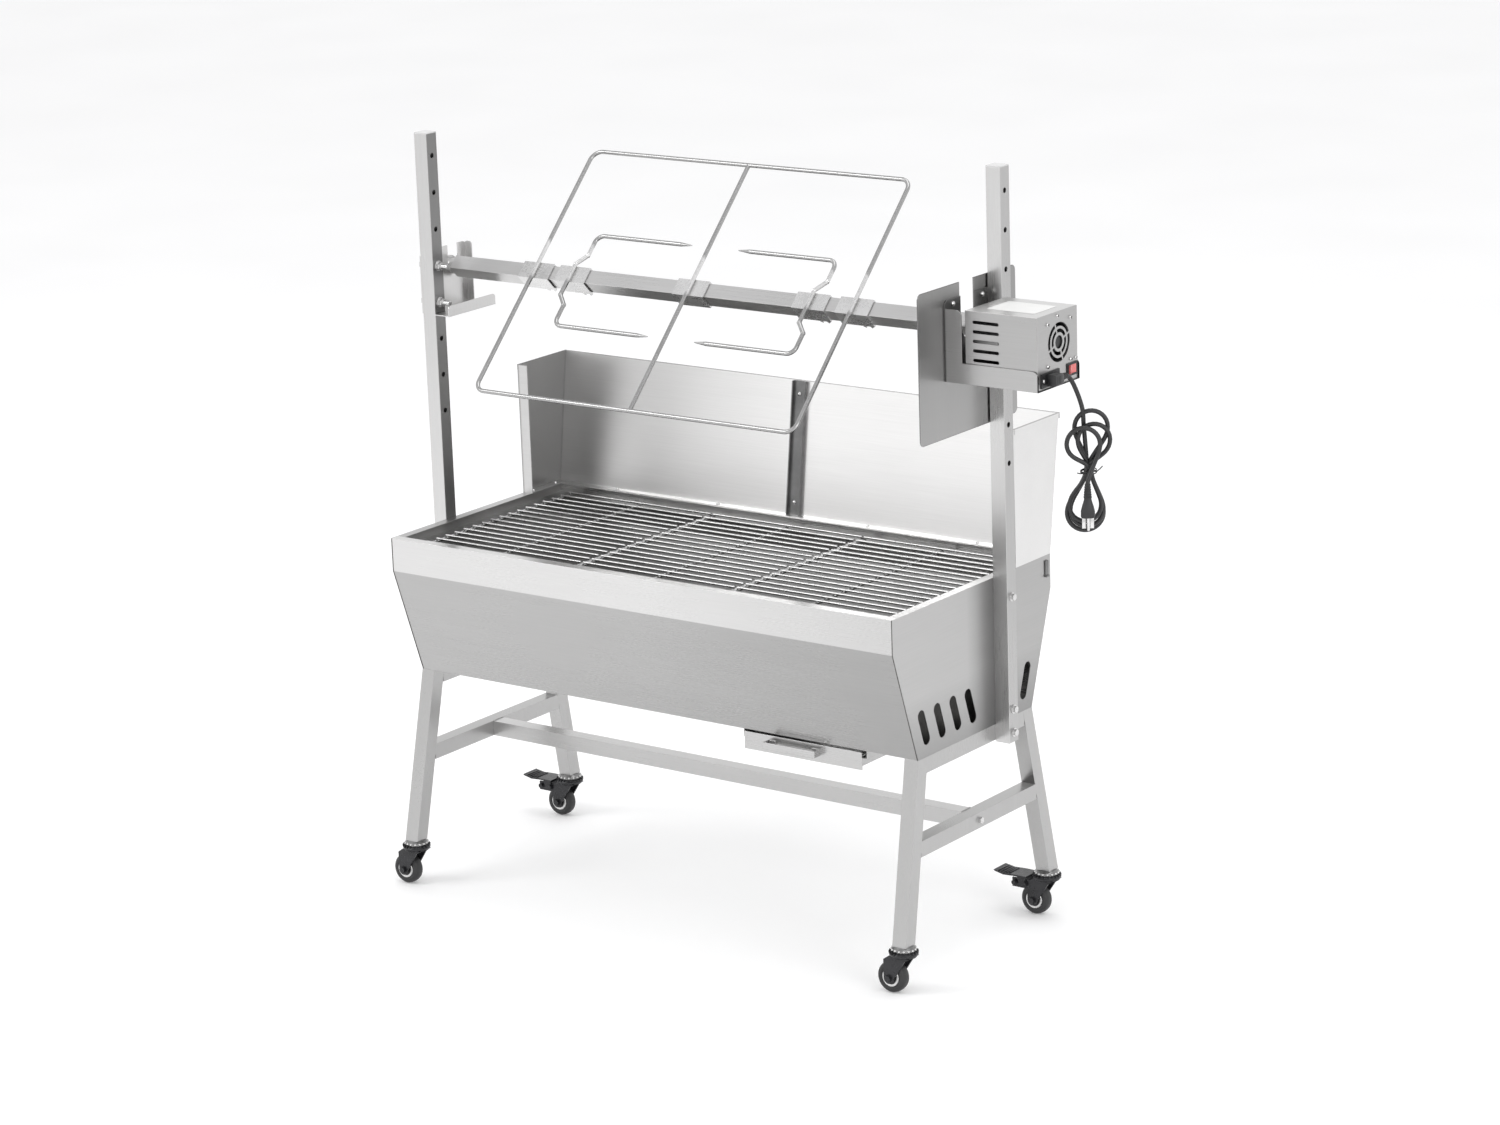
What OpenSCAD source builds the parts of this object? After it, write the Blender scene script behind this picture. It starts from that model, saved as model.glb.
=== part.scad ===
// Charcoal spit roaster: a trough on a wheeled stand, with a motor-driven spit between two posts.
// Millimetres, +Z up, floor at Z = 0. X runs along the spit towards the motor, Y towards the windscreen.

/* [Firebox] */
// Length of the firebox over its end panels
box_len = 980; // [940:10:1000]
// Depth of the firebox at the rim, front to back
box_depth = 438; // [430:2:446]
// Depth of the flat bottom
base_depth = 318; // [310:2:326]
// Height of the firebox
box_h = 235; // [230:1:240]
// Height of the upright band below the rim
band_h = 55; // [50:1:60]
// Height of the rim above the floor
rim_z = 595; // [590:1:600]
// Width of the folded rim
rim_w = 16; // [14:1:18]
// Thickness of the sheet steel
sheet = 1.5; // [1.2:0.1:1.6]

/* [Stand] */
// Side of the square tube
tube = 25; // [24:0.5:26]
// Wall of the square tube
tube_wall = 1.5; // [1.2:0.1:2]
// Outer spread of the feet, front to back
foot_spread = 432; // [420:2:440]
// How far each foot leans outwards along the length
foot_splay = 8; // [0:1:10]
// Height of a caster, floor to leg
caster_h = 78; // [76:1:80]
// Top of the crossbars and the stretcher above the floor
crossbar_z = 233; // [220:1:240]

/* [Posts] */
// Length of a post
post_len = 900; // [880:5:900]
// Bottom of a post above the floor
post_z = 332; // [330:1:333]
// Distance of each post from the spit line
post_y = 68; // [68:0.5:70]
// Height of the top adjusting hole
hole_top_z = 1196; // [1194:1:1198]
// Pitch of the adjusting holes
hole_pitch = 60; // [58:1:60]
// Number of adjusting holes
hole_count = 8; // [6:1:8]
// Diameter of the adjusting holes
hole_d = 8.5; // [8.5:0.1:9]

/* [Spit] */
// Height of the spit axis
spit_z = 1002; // [1000:1:1004]
// Side of the square spit bar
bar = 25; // [24:0.5:25]
// Length of a sliding sleeve
sleeve_len = 61; // [58:1:62]
// Diameter of the rack wire
rack_wire = 7; // [6:0.5:7]
// Length of the rack, wire centre to wire centre
rack_len = 622; // [600:2:624]
// Width of the rack, wire centre to wire centre
rack_w = 468; // [440:2:470]
// Middle of the rack along the spit
rack_x = -21; // [-24:1:-18]
// Diameter of the fork wire
fork_wire = 7; // [6:0.5:7]
// Spread of the two prongs
fork_spread = 174; // [160:2:176]
// Length of a prong
prong_len = 188; // [170:2:190]
// Middle of the left fork's sleeve
fork_left_x = -258; // [-259:1:-256]
// Middle of the right fork's sleeve
fork_right_x = 209; // [207:1:210]

/* [Motor] */
// Length of the motor case along the spit
case_len = 126; // [124:1:128]
// Width of the motor case
case_w = 110; // [108:1:110]
// Height of the motor case
case_h = 110; // [108:1:110]
// Left end of the motor case
case_x = 524; // [523:0.5:526]
// Width of the heat shield
shield_w = 266; // [250:2:270]
// Height of the heat shield
shield_h = 231; // [220:1:235]

/* [Windscreen] */
// Height of the windscreen above the rim
screen_h = 220; // [200:5:220]
// How far the back wall leans out at the top
screen_lean = 30; // [20:1:34]
// Front edge of the side wings
wing_y = 122; // [118:1:126]

/* [Grates] */
// Pitch of the long grate wires
grate_pitch = 23; // [22.5:0.1:23]
// Number of long wires in a grate
grate_wires = 18; // [16:1:18]
// Length of one grate panel
grate_len = 303; // [300:0.5:303]
// Drop of the grate below the rim
grate_drop = 10; // [8:0.5:12]

/* [Ash drawer] */
// Width of the drawer front
drawer_w = 221; // [210:1:224]
// Middle of the drawer along the firebox
drawer_x = 277; // [270:1:280]
// Height of the drawer front
drawer_h = 28; // [26:1:28]

/* [Casters] */
// Diameter of a caster wheel
wheel_d = 50; // [48:1:50]
// Width of a caster wheel
wheel_w = 20; // [18:1:20]
// Trail of a caster wheel behind its swivel
trail = 20; // [18:1:22]

/* [Mains lead] */
// Diameter of the mains lead
cord_d = 7; // [6.5:0.1:7.5]

/* [Hidden] */

$fn = 48;
eps = 0.01;

steel = "silver";
dark = "#222222";

// firebox
half_len = box_len / 2;
half_rim = box_depth / 2;
half_base = base_depth / 2;
base_z = rim_z - box_h;
band_z = rim_z - band_h;
slope = atan((half_rim - half_base) / (band_z - base_z));
ledge_w = 22;
end_ledge_w = 38;
vent_w = 18;
vent_h = 60;
vent_z = base_z + 48;
vents_y = [-142, -99, -56, -14, 99, 142];
ash_hole = [150, 160];

// stand
leg_y_top = half_base - tube / 2;
leg_y_foot = foot_spread / 2 - tube / 2;
leg_drop = base_z - caster_h;
leg_spread_angle = atan((leg_y_foot - leg_y_top) / leg_drop);
leg_splay_angle = atan(foot_splay / leg_drop);
foot_x = half_len - tube / 2 + foot_splay;
crossbar_splay = foot_splay * (base_z - crossbar_z + tube / 2) / leg_drop;
crossbar_x = half_len - tube / 2 + crossbar_splay;

// posts: the left one stands in front of the spit line, the right one behind it
post_x = half_len + tube / 2;
post_top = post_z + post_len;
post_bolts_z = [rim_z - 30, base_z + 25, base_z - tube / 2];
bolt_level = 3;
bolts_z = [hole_top_z - bolt_level * hole_pitch, hole_top_z - (bolt_level + 1) * hole_pitch];

// spit, in a frame turned so that the bar's faces lie along its Y and Z
spit_tilt = 45;
sleeve_side = bar + 5;
sleeve_hole = bar + 0.8;
wire_n = sleeve_side / 2 + rack_wire / 2 - 0.4;
fork_n = sleeve_side / 2 + fork_wire / 2 - 0.4;
bar_left = -half_len - 18;
bar_right = case_x + 22;
journal_r = 12.9;
rack_corner = 18;
left_bow = 16;
right_bow = -16;
fork_corner = 14;
fork_offset = -12;
screw_r = 3;

// left bracket
web_out = -half_len - tube - 2;
lip_x = -half_len + 32;
bracket_front = -post_y - 16;
bracket_back = 34;
bracket_z = 937;
bracket_top = 1038;

// motor bracket, shield and case
web_x = half_len - 2;
shield_x = web_x - 1.2;
tray_z = 926;
tray_end = case_x + case_len + 2;
motor_y = -4.5;
case_front = motor_y - case_w / 2;
case_z = tray_z + sheet;
case_end = case_x + case_len;
fan_z = 991;
fan_r = 30;
web_top = 1049;
shield_y = 2;
shield_z = 839;
notch_r = 19;
inlet_y = -27;
inlet_z = 941;
switch_y = 34;
switch_z = 944;
socket_r = 20;
shaft_r = 6;

// grates
grate_top = rim_z - grate_drop;
wire_d = 4;
cross_d = 5;
ledge_z = grate_top - wire_d - cross_d;

// drawer
drawer_top = base_z - 3;
drawer_back = 62;
drawer_body_w = drawer_w - 16;

// casters: x, y and whether it has a brake pedal
casters = [
    [-foot_x, -leg_y_foot, false], [foot_x, -leg_y_foot, false],
    [-foot_x, leg_y_foot, true], [foot_x, leg_y_foot, true]
];
axle_z = wheel_d / 2;
race_z = caster_h - 7;
head_z = race_z - 10;
stem_r = 5;
pedal_pivot = [-33, 51];

// mains lead: out of the connector, round and down to the hank that hangs below it
cord_path = [
    [660, 3, 941], [660.2, 8, 939], [661.2, 13, 934], [663, 17, 926.5], [665.5, 20, 917.5],
    [668.5, 22.2, 907.5], [671.5, 23.6, 897.5], [674.5, 24.4, 887]
];
hank = [75, 196, 24];
hank_at = [683, 25, 793];
hank_turn = 37;
plug_at = [694, 4, 744];

function mid(a, b) = (a + b) / 2;

// ---------- general shapes ----------

// a profile drawn in Y and Z, run along X from x0 to x1
module along_x(x0, x1) {
    translate([x0, 0, 0]) rotate([90, 0, 90]) linear_extrude(x1 - x0) children();
}

// a profile drawn in X and Z, run along Y from y0 to y1
module along_y(y0, y1) {
    translate([0, y1, 0]) rotate([90, 0, 0]) linear_extrude(y1 - y0) children();
}

module slab(a, b) {
    translate(a) cube(b - a);
}

module rod_x(x0, x1, y, z, r) {
    translate([x0, y, z]) rotate([0, 90, 0]) cylinder(r = r, h = x1 - x0);
}

module rod_y(y0, y1, x, z, r) {
    translate([x, y1, z]) rotate([90, 0, 0]) cylinder(r = r, h = y1 - y0);
}

module hex_x(x0, x1, y, z, r) {
    translate([x0, y, z]) rotate([0, 90, 0]) cylinder(r = r, h = x1 - x0, $fn = 6);
}

module square_tube(length) {
    difference() {
        translate([-tube / 2, -tube / 2, 0]) cube([tube, tube, length]);
        translate([-tube / 2 + tube_wall, -tube / 2 + tube_wall, -1])
            cube([tube - 2 * tube_wall, tube - 2 * tube_wall, length + 2]);
    }
}

module obround(w, h) {
    square([w, h - w], center = true);
    for (s = [-1, 1]) translate([0, s * (h - w) / 2]) circle(d = w);
}

// a rectangle whose two top corners are rounded
module tab(x0, y0, x1, y1, r) {
    translate([x0, y0]) square([x1 - x0, y1 - y0 - r]);
    translate([x0 + r, y0]) square([x1 - x0 - 2 * r, y1 - y0]);
    for (x = [x0 + r, x1 - r]) translate([x, y1 - r]) circle(r = r);
}

module rounded(x0, y0, x1, y1, r) {
    translate([x0 + r, y0]) square([x1 - x0 - 2 * r, y1 - y0]);
    translate([x0, y0 + r]) square([x1 - x0, y1 - y0 - 2 * r]);
    for (x = [x0 + r, x1 - r], y = [y0 + r, y1 - r]) translate([x, y]) circle(r = r);
}

// ---------- stand ----------

module leg(side) {
    long = leg_drop * 1.2;
    intersection() {
        translate([half_len - tube / 2, side * leg_y_top, base_z])
            rotate([side * leg_spread_angle, -leg_splay_angle, 0])
                translate([0, 0, -long + 20]) square_tube(long);
        slab([half_len - 60, -foot_spread, caster_h], [half_len + 60, foot_spread, base_z]);
    }
}

module end_frame() {
    reach = half_base - tube;
    low_reach = mid(leg_y_top, leg_y_foot) - tube / 2;
    for (side = [-1, 1]) leg(side);
    along_x(half_len - tube, half_len) difference() {
        translate([-reach - 3, base_z - tube]) square([2 * reach + 6, tube]);
    }
    difference() {
        translate([crossbar_x, low_reach, crossbar_z - tube / 2]) rotate([90, 0, 0])
            square_tube(2 * low_reach);
        rod_x(crossbar_x - tube, crossbar_x + tube, 0, crossbar_z - tube / 2, 3.3);
    }
}

module left_leg_frame() {
    color(steel) rotate([0, 0, 180]) leg_frame();
}

module right_leg_frame() {
    color(steel) leg_frame();
}

// the right frame; the left one is the same part turned half a turn
module leg_frame() {
    difference() {
        end_frame();
        rod_x(half_len - tube - 1, half_len + 1, post_y, post_bolts_z[2], 3.3);
    }
}

module stretcher() {
    reach = crossbar_x - tube / 2;
    color(steel) translate([-reach, 0, crossbar_z - tube / 2]) rotate([0, 90, 0])
        square_tube(2 * reach);
}

// the right post; the left one is the same part turned half a turn
module post() {
    difference() {
        translate([post_x, post_y, post_z]) square_tube(post_len);
        for (i = [0:hole_count - 1])
            rod_x(half_len - 1, half_len + tube + 1, post_y, hole_top_z - i * hole_pitch, hole_d / 2);
        for (z = post_bolts_z) rod_x(half_len - 1, half_len + tube + 1, post_y, z, 3.3);
    }
}

module left_post() {
    color(steel) rotate([0, 0, 180]) post();
}

module right_post() {
    color(steel) post();
}

module post_caps() {
    inside = tube - 2 * tube_wall - 0.2;
    color(steel) for (s = [-1, 1]) translate([s * post_x, s * post_y, post_top]) {
        translate([-tube / 2, -tube / 2, 0]) cube([tube, tube, 2]);
        translate([-inside / 2, -inside / 2, -12]) cube([inside, inside, 12 + eps]);
    }
}

// ---------- firebox ----------

function wall_points(t) = [
    [-half_rim + t, band_z + t * tan(slope / 2)],
    [-half_base + t * tan((90 - slope) / 2), base_z + t],
    [half_base - t * tan((90 - slope) / 2), base_z + t],
    [half_rim - t, band_z + t * tan(slope / 2)]
];

function flipped(v) = [for (i = [len(v) - 1:-1:0]) v[i]];

module trough_profile() {
    polygon(concat(
        [[-half_rim + rim_w, rim_z], [-half_rim, rim_z]], wall_points(0),
        [[half_rim, rim_z], [half_rim - rim_w, rim_z], [half_rim - rim_w, rim_z - sheet],
         [half_rim - sheet, rim_z - sheet]],
        flipped(wall_points(sheet)),
        [[-half_rim + sheet, rim_z - sheet], [-half_rim + rim_w, rim_z - sheet]]
    ));
}

module trough_shell() {
    color(steel) difference() {
        along_x(-half_len + sheet, half_len - sheet) trough_profile();
        translate([drawer_x - ash_hole[0] / 2, -ash_hole[1] / 2 - 20, base_z - 1])
            cube([ash_hole[0], ash_hole[1], sheet + 2]);
    }
}

// the right panel; the left one is the same part turned half a turn
module end_panel() {
    difference() {
        along_x(half_len - sheet, half_len) difference() {
            polygon([[-half_rim, rim_z], [-half_rim, band_z], [-half_base, base_z],
                     [half_base, base_z], [half_rim, band_z], [half_rim, rim_z]]);
            for (y = vents_y) translate([y, vent_z]) rotate(y < 0 ? slope : -slope)
                obround(vent_w, vent_h);
        }
        for (i = [0, 1]) rod_x(half_len - 5, half_len + 1, post_y, post_bolts_z[i], 3.3);
    }
    slab([half_len - rim_w, -half_rim + rim_w + 0.2, rim_z - sheet],
         [half_len - sheet + eps, half_rim - rim_w - 0.2, rim_z]);
}

module left_end_panel() {
    color(steel) rotate([0, 0, 180]) end_panel();
}

module right_end_panel() {
    color(steel) end_panel();
}

module grate_ledges() {
    inside = half_rim - sheet;
    reach = half_len - sheet;
    color(steel) for (s = [-1, 1]) {
        along_x(-reach, reach) polygon([
            [s * inside, ledge_z], [s * (inside - ledge_w), ledge_z],
            [s * (inside - ledge_w), ledge_z - sheet], [s * (inside - sheet), ledge_z - sheet],
            [s * (inside - sheet), ledge_z - 16], [s * inside, ledge_z - 16]
        ]);
        along_y(-inside + ledge_w + 0.2, inside - ledge_w - 0.2) polygon([
            [s * reach, ledge_z], [s * (reach - end_ledge_w), ledge_z],
            [s * (reach - end_ledge_w), ledge_z - sheet], [s * (reach - sheet), ledge_z - sheet],
            [s * (reach - sheet), ledge_z - 5], [s * reach, ledge_z - 5]
        ]);
    }
}

// a slotted plate on two folded feet, standing on the firebox floor
module charcoal_grate() {
    top = base_z + 70;
    reach = half_len - 24;
    half_w = half_base + 12;
    foot_w = half_base - 14;
    color(steel) {
        difference() {
            slab([-reach, -half_w, top], [reach, half_w, top + 2]);
            for (i = [-11:11], s = [-1, 1]) translate([i * 38, s * half_w / 2, top - 1])
                linear_extrude(4) obround(14, half_w - 34);
        }
        for (s = [-1, 1]) slab([s * (reach - 1) - 1, -foot_w, base_z + sheet],
                               [s * (reach - 1) + 1, foot_w, top + eps]);
    }
}

// ---------- windscreen ----------

function screen_y(z) = half_rim - sheet + screen_lean * (z - rim_z) / screen_h;

// the left half; the right half is its mirror image
module windscreen_half() {
    top = rim_z + screen_h;
    wall = sheet;
    along_x(-half_len + wall - eps, -0.5) polygon([
        [screen_y(rim_z), rim_z], [screen_y(rim_z) + wall, rim_z],
        [screen_y(top) + wall, top], [screen_y(top), top]
    ]);
    along_x(-half_len, -half_len + wall) polygon([
        [wing_y, rim_z], [screen_y(rim_z) + wall, rim_z],
        [screen_y(top) + wall, top], [wing_y, top]
    ]);
    // hemmed top edges
    slab([-half_len - wall, wing_y, top - 9], [-half_len + eps, screen_y(top) + wall, top]);
    slab([-half_len - wall, screen_y(top) + wall - eps, top - 9], [-0.5, screen_y(top) + 2 * wall, top]);
    // return along the front edge, and feet on the rim
    slab([-half_len, wing_y - wall, rim_z], [-half_len + 20, wing_y + eps, top]);
    slab([-half_len + wall - eps, wing_y, rim_z], [-half_len + rim_w - 1, screen_y(rim_z) + eps, rim_z + wall]);
    slab([-half_len + rim_w - 1 - eps, screen_y(rim_z) - 13, rim_z], [-0.5, screen_y(rim_z) + eps, rim_z + wall]);
}

module windscreen_left() {
    color(steel) windscreen_half();
}

module windscreen_right() {
    color(steel) mirror([1, 0, 0]) windscreen_half();
}

// the channel that joins the two halves, on the inside of the back wall
module windscreen_seam() {
    top = rim_z + screen_h - 1;
    low = rim_z + sheet;
    color(steel) {
        along_x(-13, 13) polygon([
            [screen_y(low) - 2, low], [screen_y(low), low], [screen_y(top), top], [screen_y(top) - 2, top]
        ]);
        for (s = [-1, 1]) along_x(s * 12 - 1, s * 12 + 1) polygon([
            [screen_y(low) - 7, low], [screen_y(low) - 2 + eps, low],
            [screen_y(top) - 2 + eps, top], [screen_y(top) - 7, top]
        ]);
    }
}

// ---------- fasteners ----------

module frame_bolts() {
    inside = half_len - tube - 6;
    color(steel) for (turn = [0, 180]) rotate([0, 0, turn]) {
        for (i = [0, 1]) {
            rod_x(half_len - 9, half_len + tube + 2, post_y, post_bolts_z[i], 3);
            hex_x(half_len - 7.5, half_len - sheet, post_y, post_bolts_z[i], 5.5);
        }
        rod_x(inside, half_len + tube + 2, post_y, post_bolts_z[2], 3);
        hex_x(half_len - tube - 5, half_len - tube, post_y, post_bolts_z[2], 5.5);
        for (z = post_bolts_z) {
            rod_x(half_len + tube, half_len + tube + 1.6, post_y, z, 7);
            hex_x(half_len + tube + 1.5, half_len + tube + 6, post_y, z, 5.5);
        }
        rod_x(crossbar_x - 40, crossbar_x + tube / 2 + 2, 0, crossbar_z - tube / 2, 3);
        hex_x(crossbar_x + tube / 2, crossbar_x + tube / 2 + 4.5, 0, crossbar_z - tube / 2, 5.5);
    }
}

// two long bolts hold each bracket to its post
module bracket_bolts() {
    color(steel) for (z = bolts_z) {
        rod_x(web_out - 2, -half_len + 22, -post_y, z, 4);
        hex_x(web_out - 7, web_out, -post_y, z, 7);
        rod_x(-half_len, -half_len + 1.6, -post_y, z, 8.5);
        hex_x(-half_len + 1.5, -half_len + 8, -post_y, z, 7);
        rod_x(shield_x - 12, half_len + tube + 2, post_y, z, 4);
        hex_x(half_len + tube, half_len + tube + 5, post_y, z, 7);
        rod_x(shield_x - 1.6, shield_x, post_y, z, 8.5);
        hex_x(shield_x - 8, shield_x - 1.5, post_y, z, 7);
    }
}

module sheet_screws() {
    foot_z = rim_z + sheet;
    color(steel) {
        for (s = [-1, 1], y = [wing_y + 14, half_rim - 24])
            translate([s * (half_len - 9), y, foot_z]) screw_head(3);
        for (x = [-360, -150, 150, 360])
            translate([x, screen_y(rim_z) - 7, foot_z]) screw_head(3);
        for (z = [rim_z + 22, rim_z + screen_h - 22])
            translate([0, screen_y(z) - 2 - eps, z]) rotate([90 - atan(screen_lean / screen_h), 0, 0])
                screw_head(3.4);
    }
}

// a domed head standing on the XY plane
module screw_head(r) {
    translate([0, 0, 0.8]) intersection() {
        translate([0, 0, -r * 0.6]) sphere(r = r * 1.25, $fn = 24);
        cylinder(r = r, h = r);
    }
    cylinder(r = r, h = 0.8 + eps);
}

// ---------- brackets at the spit's ends ----------

// a slot open at the top, for the spit to drop into
module spit_notch(r, top) {
    translate([0, spit_z]) circle(r = r);
    translate([-r, spit_z]) square([2 * r, top - spit_z + 1]);
}

// an upright web outside the left post, with a rear flange and a shallow tray towards the spit
module left_bracket() {
    color(steel) {
        difference() {
            along_x(web_out, web_out + 2) difference() {
                tab(-post_y - tube / 2, bracket_z, bracket_back, bracket_top, 9);
                spit_notch(13, bracket_top);
            }
            for (z = bolts_z) rod_x(web_out - 1, web_out + 3, -post_y, z, hole_d / 2);
        }
        along_y(bracket_back - sheet, bracket_back)
            tab(web_out, bracket_z, web_out + 15, bracket_top, 6);
        translate([0, 0, bracket_z]) linear_extrude(sheet) polygon([
            [web_out, -post_y + tube / 2 + 1], [-half_len + 1, -post_y + tube / 2 + 1],
            [-half_len + 1, bracket_front], [lip_x, bracket_front],
            [lip_x, bracket_back], [web_out, bracket_back]
        ]);
        along_x(lip_x - sheet, lip_x) tab(bracket_front, bracket_z, bracket_back, bracket_z + 18, 6);
    }
}

// a folded tray that carries the motor, with an upright web on the inside of the right post
module motor_bracket() {
    front = case_front - 2.5;
    back = case_front + case_w + 2.5;
    lip_top = tray_z + 31;
    color(steel) {
        difference() {
            along_x(web_x, web_x + 2) difference() {
                tab(front, tray_z, post_y + tube / 2 + 2, web_top, 8);
                spit_notch(notch_r, web_top);
            }
            for (z = bolts_z) rod_x(web_x - 1, web_x + 3, post_y, z, hole_d / 2);
        }
        slab([web_x + 2 - eps, front, tray_z], [tray_end, back, tray_z + sheet]);
        along_y(front, front + sheet) {
            translate([web_x + 1, tray_z]) square([30, web_top - tray_z - 18]);
            translate([web_x + 1, web_top - 20]) square([21, 8]);
            translate([web_x + 21, web_top - 22]) circle(r = 10);
            translate([web_x + 1, tray_z]) square([tray_end - web_x - 11, lip_top - tray_z]);
            translate([tray_end - 12, tray_z]) square([12, lip_top - tray_z - 10]);
            translate([tray_end - 10, lip_top - 10]) circle(r = 10);
        }
        along_y(back - sheet, back) {
            translate([half_len + tube + 3, tray_z]) square([tray_end - half_len - tube - 13, lip_top - tray_z]);
            translate([tray_end - 12, tray_z]) square([12, lip_top - tray_z - 10]);
            translate([tray_end - 10, lip_top - 10]) circle(r = 10);
        }
    }
}

module heat_shield() {
    color(steel) difference() {
        along_x(shield_x, web_x) difference() {
            rounded(shield_y - shield_w / 2, shield_z, shield_y + shield_w / 2, shield_z + shield_h, 9);
            spit_notch(notch_r, shield_z + shield_h);
        }
        for (z = bolts_z) rod_x(shield_x - 1, web_x + 1, post_y, z, hole_d / 2);
    }
}

// ---------- motor ----------

module motor_case() {
    wall = 1.2;
    color(steel) difference() {
        slab([case_x, case_front, case_z], [case_end - sheet, case_front + case_w, case_z + case_h]);
        slab([case_x + wall, case_front + wall, case_z + wall],
             [case_end, case_front + case_w - wall, case_z + case_h - wall]);
        rod_x(case_x - 1, case_x + 3, 0, spit_z, socket_r + 1.5);
        // cooling slots in the front and the back
        for (i = [0:4]) translate([case_x + 36, 0, case_z + 36 + i * 14.4]) rotate([90, 0, 0])
            translate([0, 0, -case_w]) linear_extrude(2 * case_w) rotate(90) obround(5, 46);
    }
}

module grille_holes() {
    difference() {
        union() {
            difference() {
                circle(r = fan_r);
                circle(r = 24);
            }
            difference() {
                circle(r = 20);
                circle(r = 14.5);
            }
        }
        for (a = [20, 110]) rotate(a) square([3, 70], center = true);
    }
    circle(r = 10);
}

module motor_end_plate() {
    color(steel) along_x(case_end - sheet, case_end) difference() {
        translate([case_front, case_z]) square([case_w, case_h]);
        translate([0, fan_z]) grille_holes();
        translate([inlet_y, inlet_z]) square([28, 20], center = true);
        translate([switch_y, switch_z]) square([25, 17], center = true);
    }
}

// gearbox and motor can, with a bearing bore for the output shaft
module gear_motor() {
    color("dimgray") {
        difference() {
            slab([case_x + 42, -36, spit_z - 52], [case_x + 78, 34, spit_z + 24]);
            rod_x(case_x + 41, case_x + 72, 0, spit_z, shaft_r + 0.05);
        }
        rod_x(case_x + 78 - eps, case_x + 106, motor_y, spit_z - 24, 25);
        for (y = [-30, 22]) slab([case_x + 44, y, case_z + 1.2], [case_x + 76, y + 8, spit_z - 52 + eps]);
    }
}

module fan_frame() {
    color(dark) difference() {
        slab([case_end - sheet - 12, -36, fan_z - 36], [case_end - sheet, 36, fan_z + 36]);
        rod_x(case_end - sheet - 13, case_end, 0, fan_z, fan_r - 1);
    }
    // bearing hub on two struts
    color(dark) {
        rod_x(case_end - sheet - 12, case_end - sheet - 10, 0, fan_z, 9);
        rod_x(case_end - sheet - 10 - eps, case_end - sheet - 3, 0, fan_z, 2);
        for (a = [0, 90]) translate([case_end - sheet - 12, 0, fan_z]) rotate([a, 0, 0])
            translate([0, -fan_r, -2]) cube([2, 2 * fan_r, 4]);
    }
}

module fan_rotor() {
    x0 = case_end - sheet - 9;
    color(dark) difference() {
        union() {
            rod_x(x0, x0 + 7.5, 0, fan_z, 10);
            for (i = [0:6]) translate([x0 + 3.5, 0, fan_z]) rotate([i * 360 / 7, 0, 0])
                rotate([0, 0, 30]) translate([-3.2, -1, 8]) cube([6, 1.4, 18]);
        }
        rod_x(x0 - 1, x0 + 6, 0, fan_z, 2.05);
    }
}

module case_screws() {
    edge = [[motor_y, case_z + case_h - 6], [motor_y + case_w / 2 - 5, switch_z + 15]];
    color(steel) {
        for (y = [-31.5, 31.5], z = [-31.5, 31.5])
            translate([case_end, y, fan_z + z]) rotate([0, 90, 0]) screw_head(3);
        for (c = edge) translate([case_end, c[0], c[1]]) rotate([0, 90, 0]) screw_head(2.6);
        for (s = [-1, 1]) translate([case_end + 2, inlet_y + s * 20, inlet_z]) rotate([0, 90, 0]) screw_head(2.6);
        for (y = [-40, 40]) translate([web_x + 2, y, web_top - 8]) rotate([0, 90, 0]) screw_head(4);
    }
}

module switch_bezel() {
    color(dark) {
        difference() {
            along_x(case_end - 6, case_end + 2) switch_ring(24.6, 16.6);
            translate([case_end - 2, switch_y, switch_z - 10]) cylinder(r = 1.25, h = 20);
        }
        along_x(case_end, case_end + 1.5) switch_ring(28, 20);
    }
}

module switch_ring(w, h) {
    translate([switch_y, switch_z]) difference() {
        square([w, h], center = true);
        square([21, 13.6], center = true);
    }
}

// a rocker that turns on two upright pins
module switch_rocker() {
    color("firebrick") translate([case_end - 2, switch_y, switch_z]) rotate([0, 0, 7]) {
        translate([0, 0, -6.5]) linear_extrude(13)
            polygon([[-3.5, -4], [0, -9.5], [5, -9.5], [3, 0], [5, 9.5], [0, 9.5], [-3.5, 4]]);
        translate([0, 0, -8]) cylinder(r = 1.2, h = 16);
    }
}

module power_inlet() {
    color(dark) {
        slab([case_end, inlet_y - 25, inlet_z - 11], [case_end + 2, inlet_y + 25, inlet_z + 11]);
        slab([case_end - 14, inlet_y - 13.8, inlet_z - 9.8], [case_end + eps, inlet_y + 13.8, inlet_z + 9.8]);
    }
}

// ---------- ash drawer ----------

module drawer_runners() {
    half = drawer_body_w / 2;
    color(steel) for (s = [-1, 1]) translate([drawer_x, 0, 0]) along_y(-half_base + 4, drawer_back + 6) polygon([
        [s * (half + 14), base_z], [s * (half + 2), base_z], [s * (half + 2), base_z - sheet],
        [s * (half + 12.5), base_z - sheet], [s * (half + 12.5), drawer_top - 8 - sheet],
        [s * (half + 2), drawer_top - 8 - sheet], [s * (half + 2), drawer_top - 8 - 2 * sheet],
        [s * (half + 14), drawer_top - 8 - 2 * sheet]
    ]);
}

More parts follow.
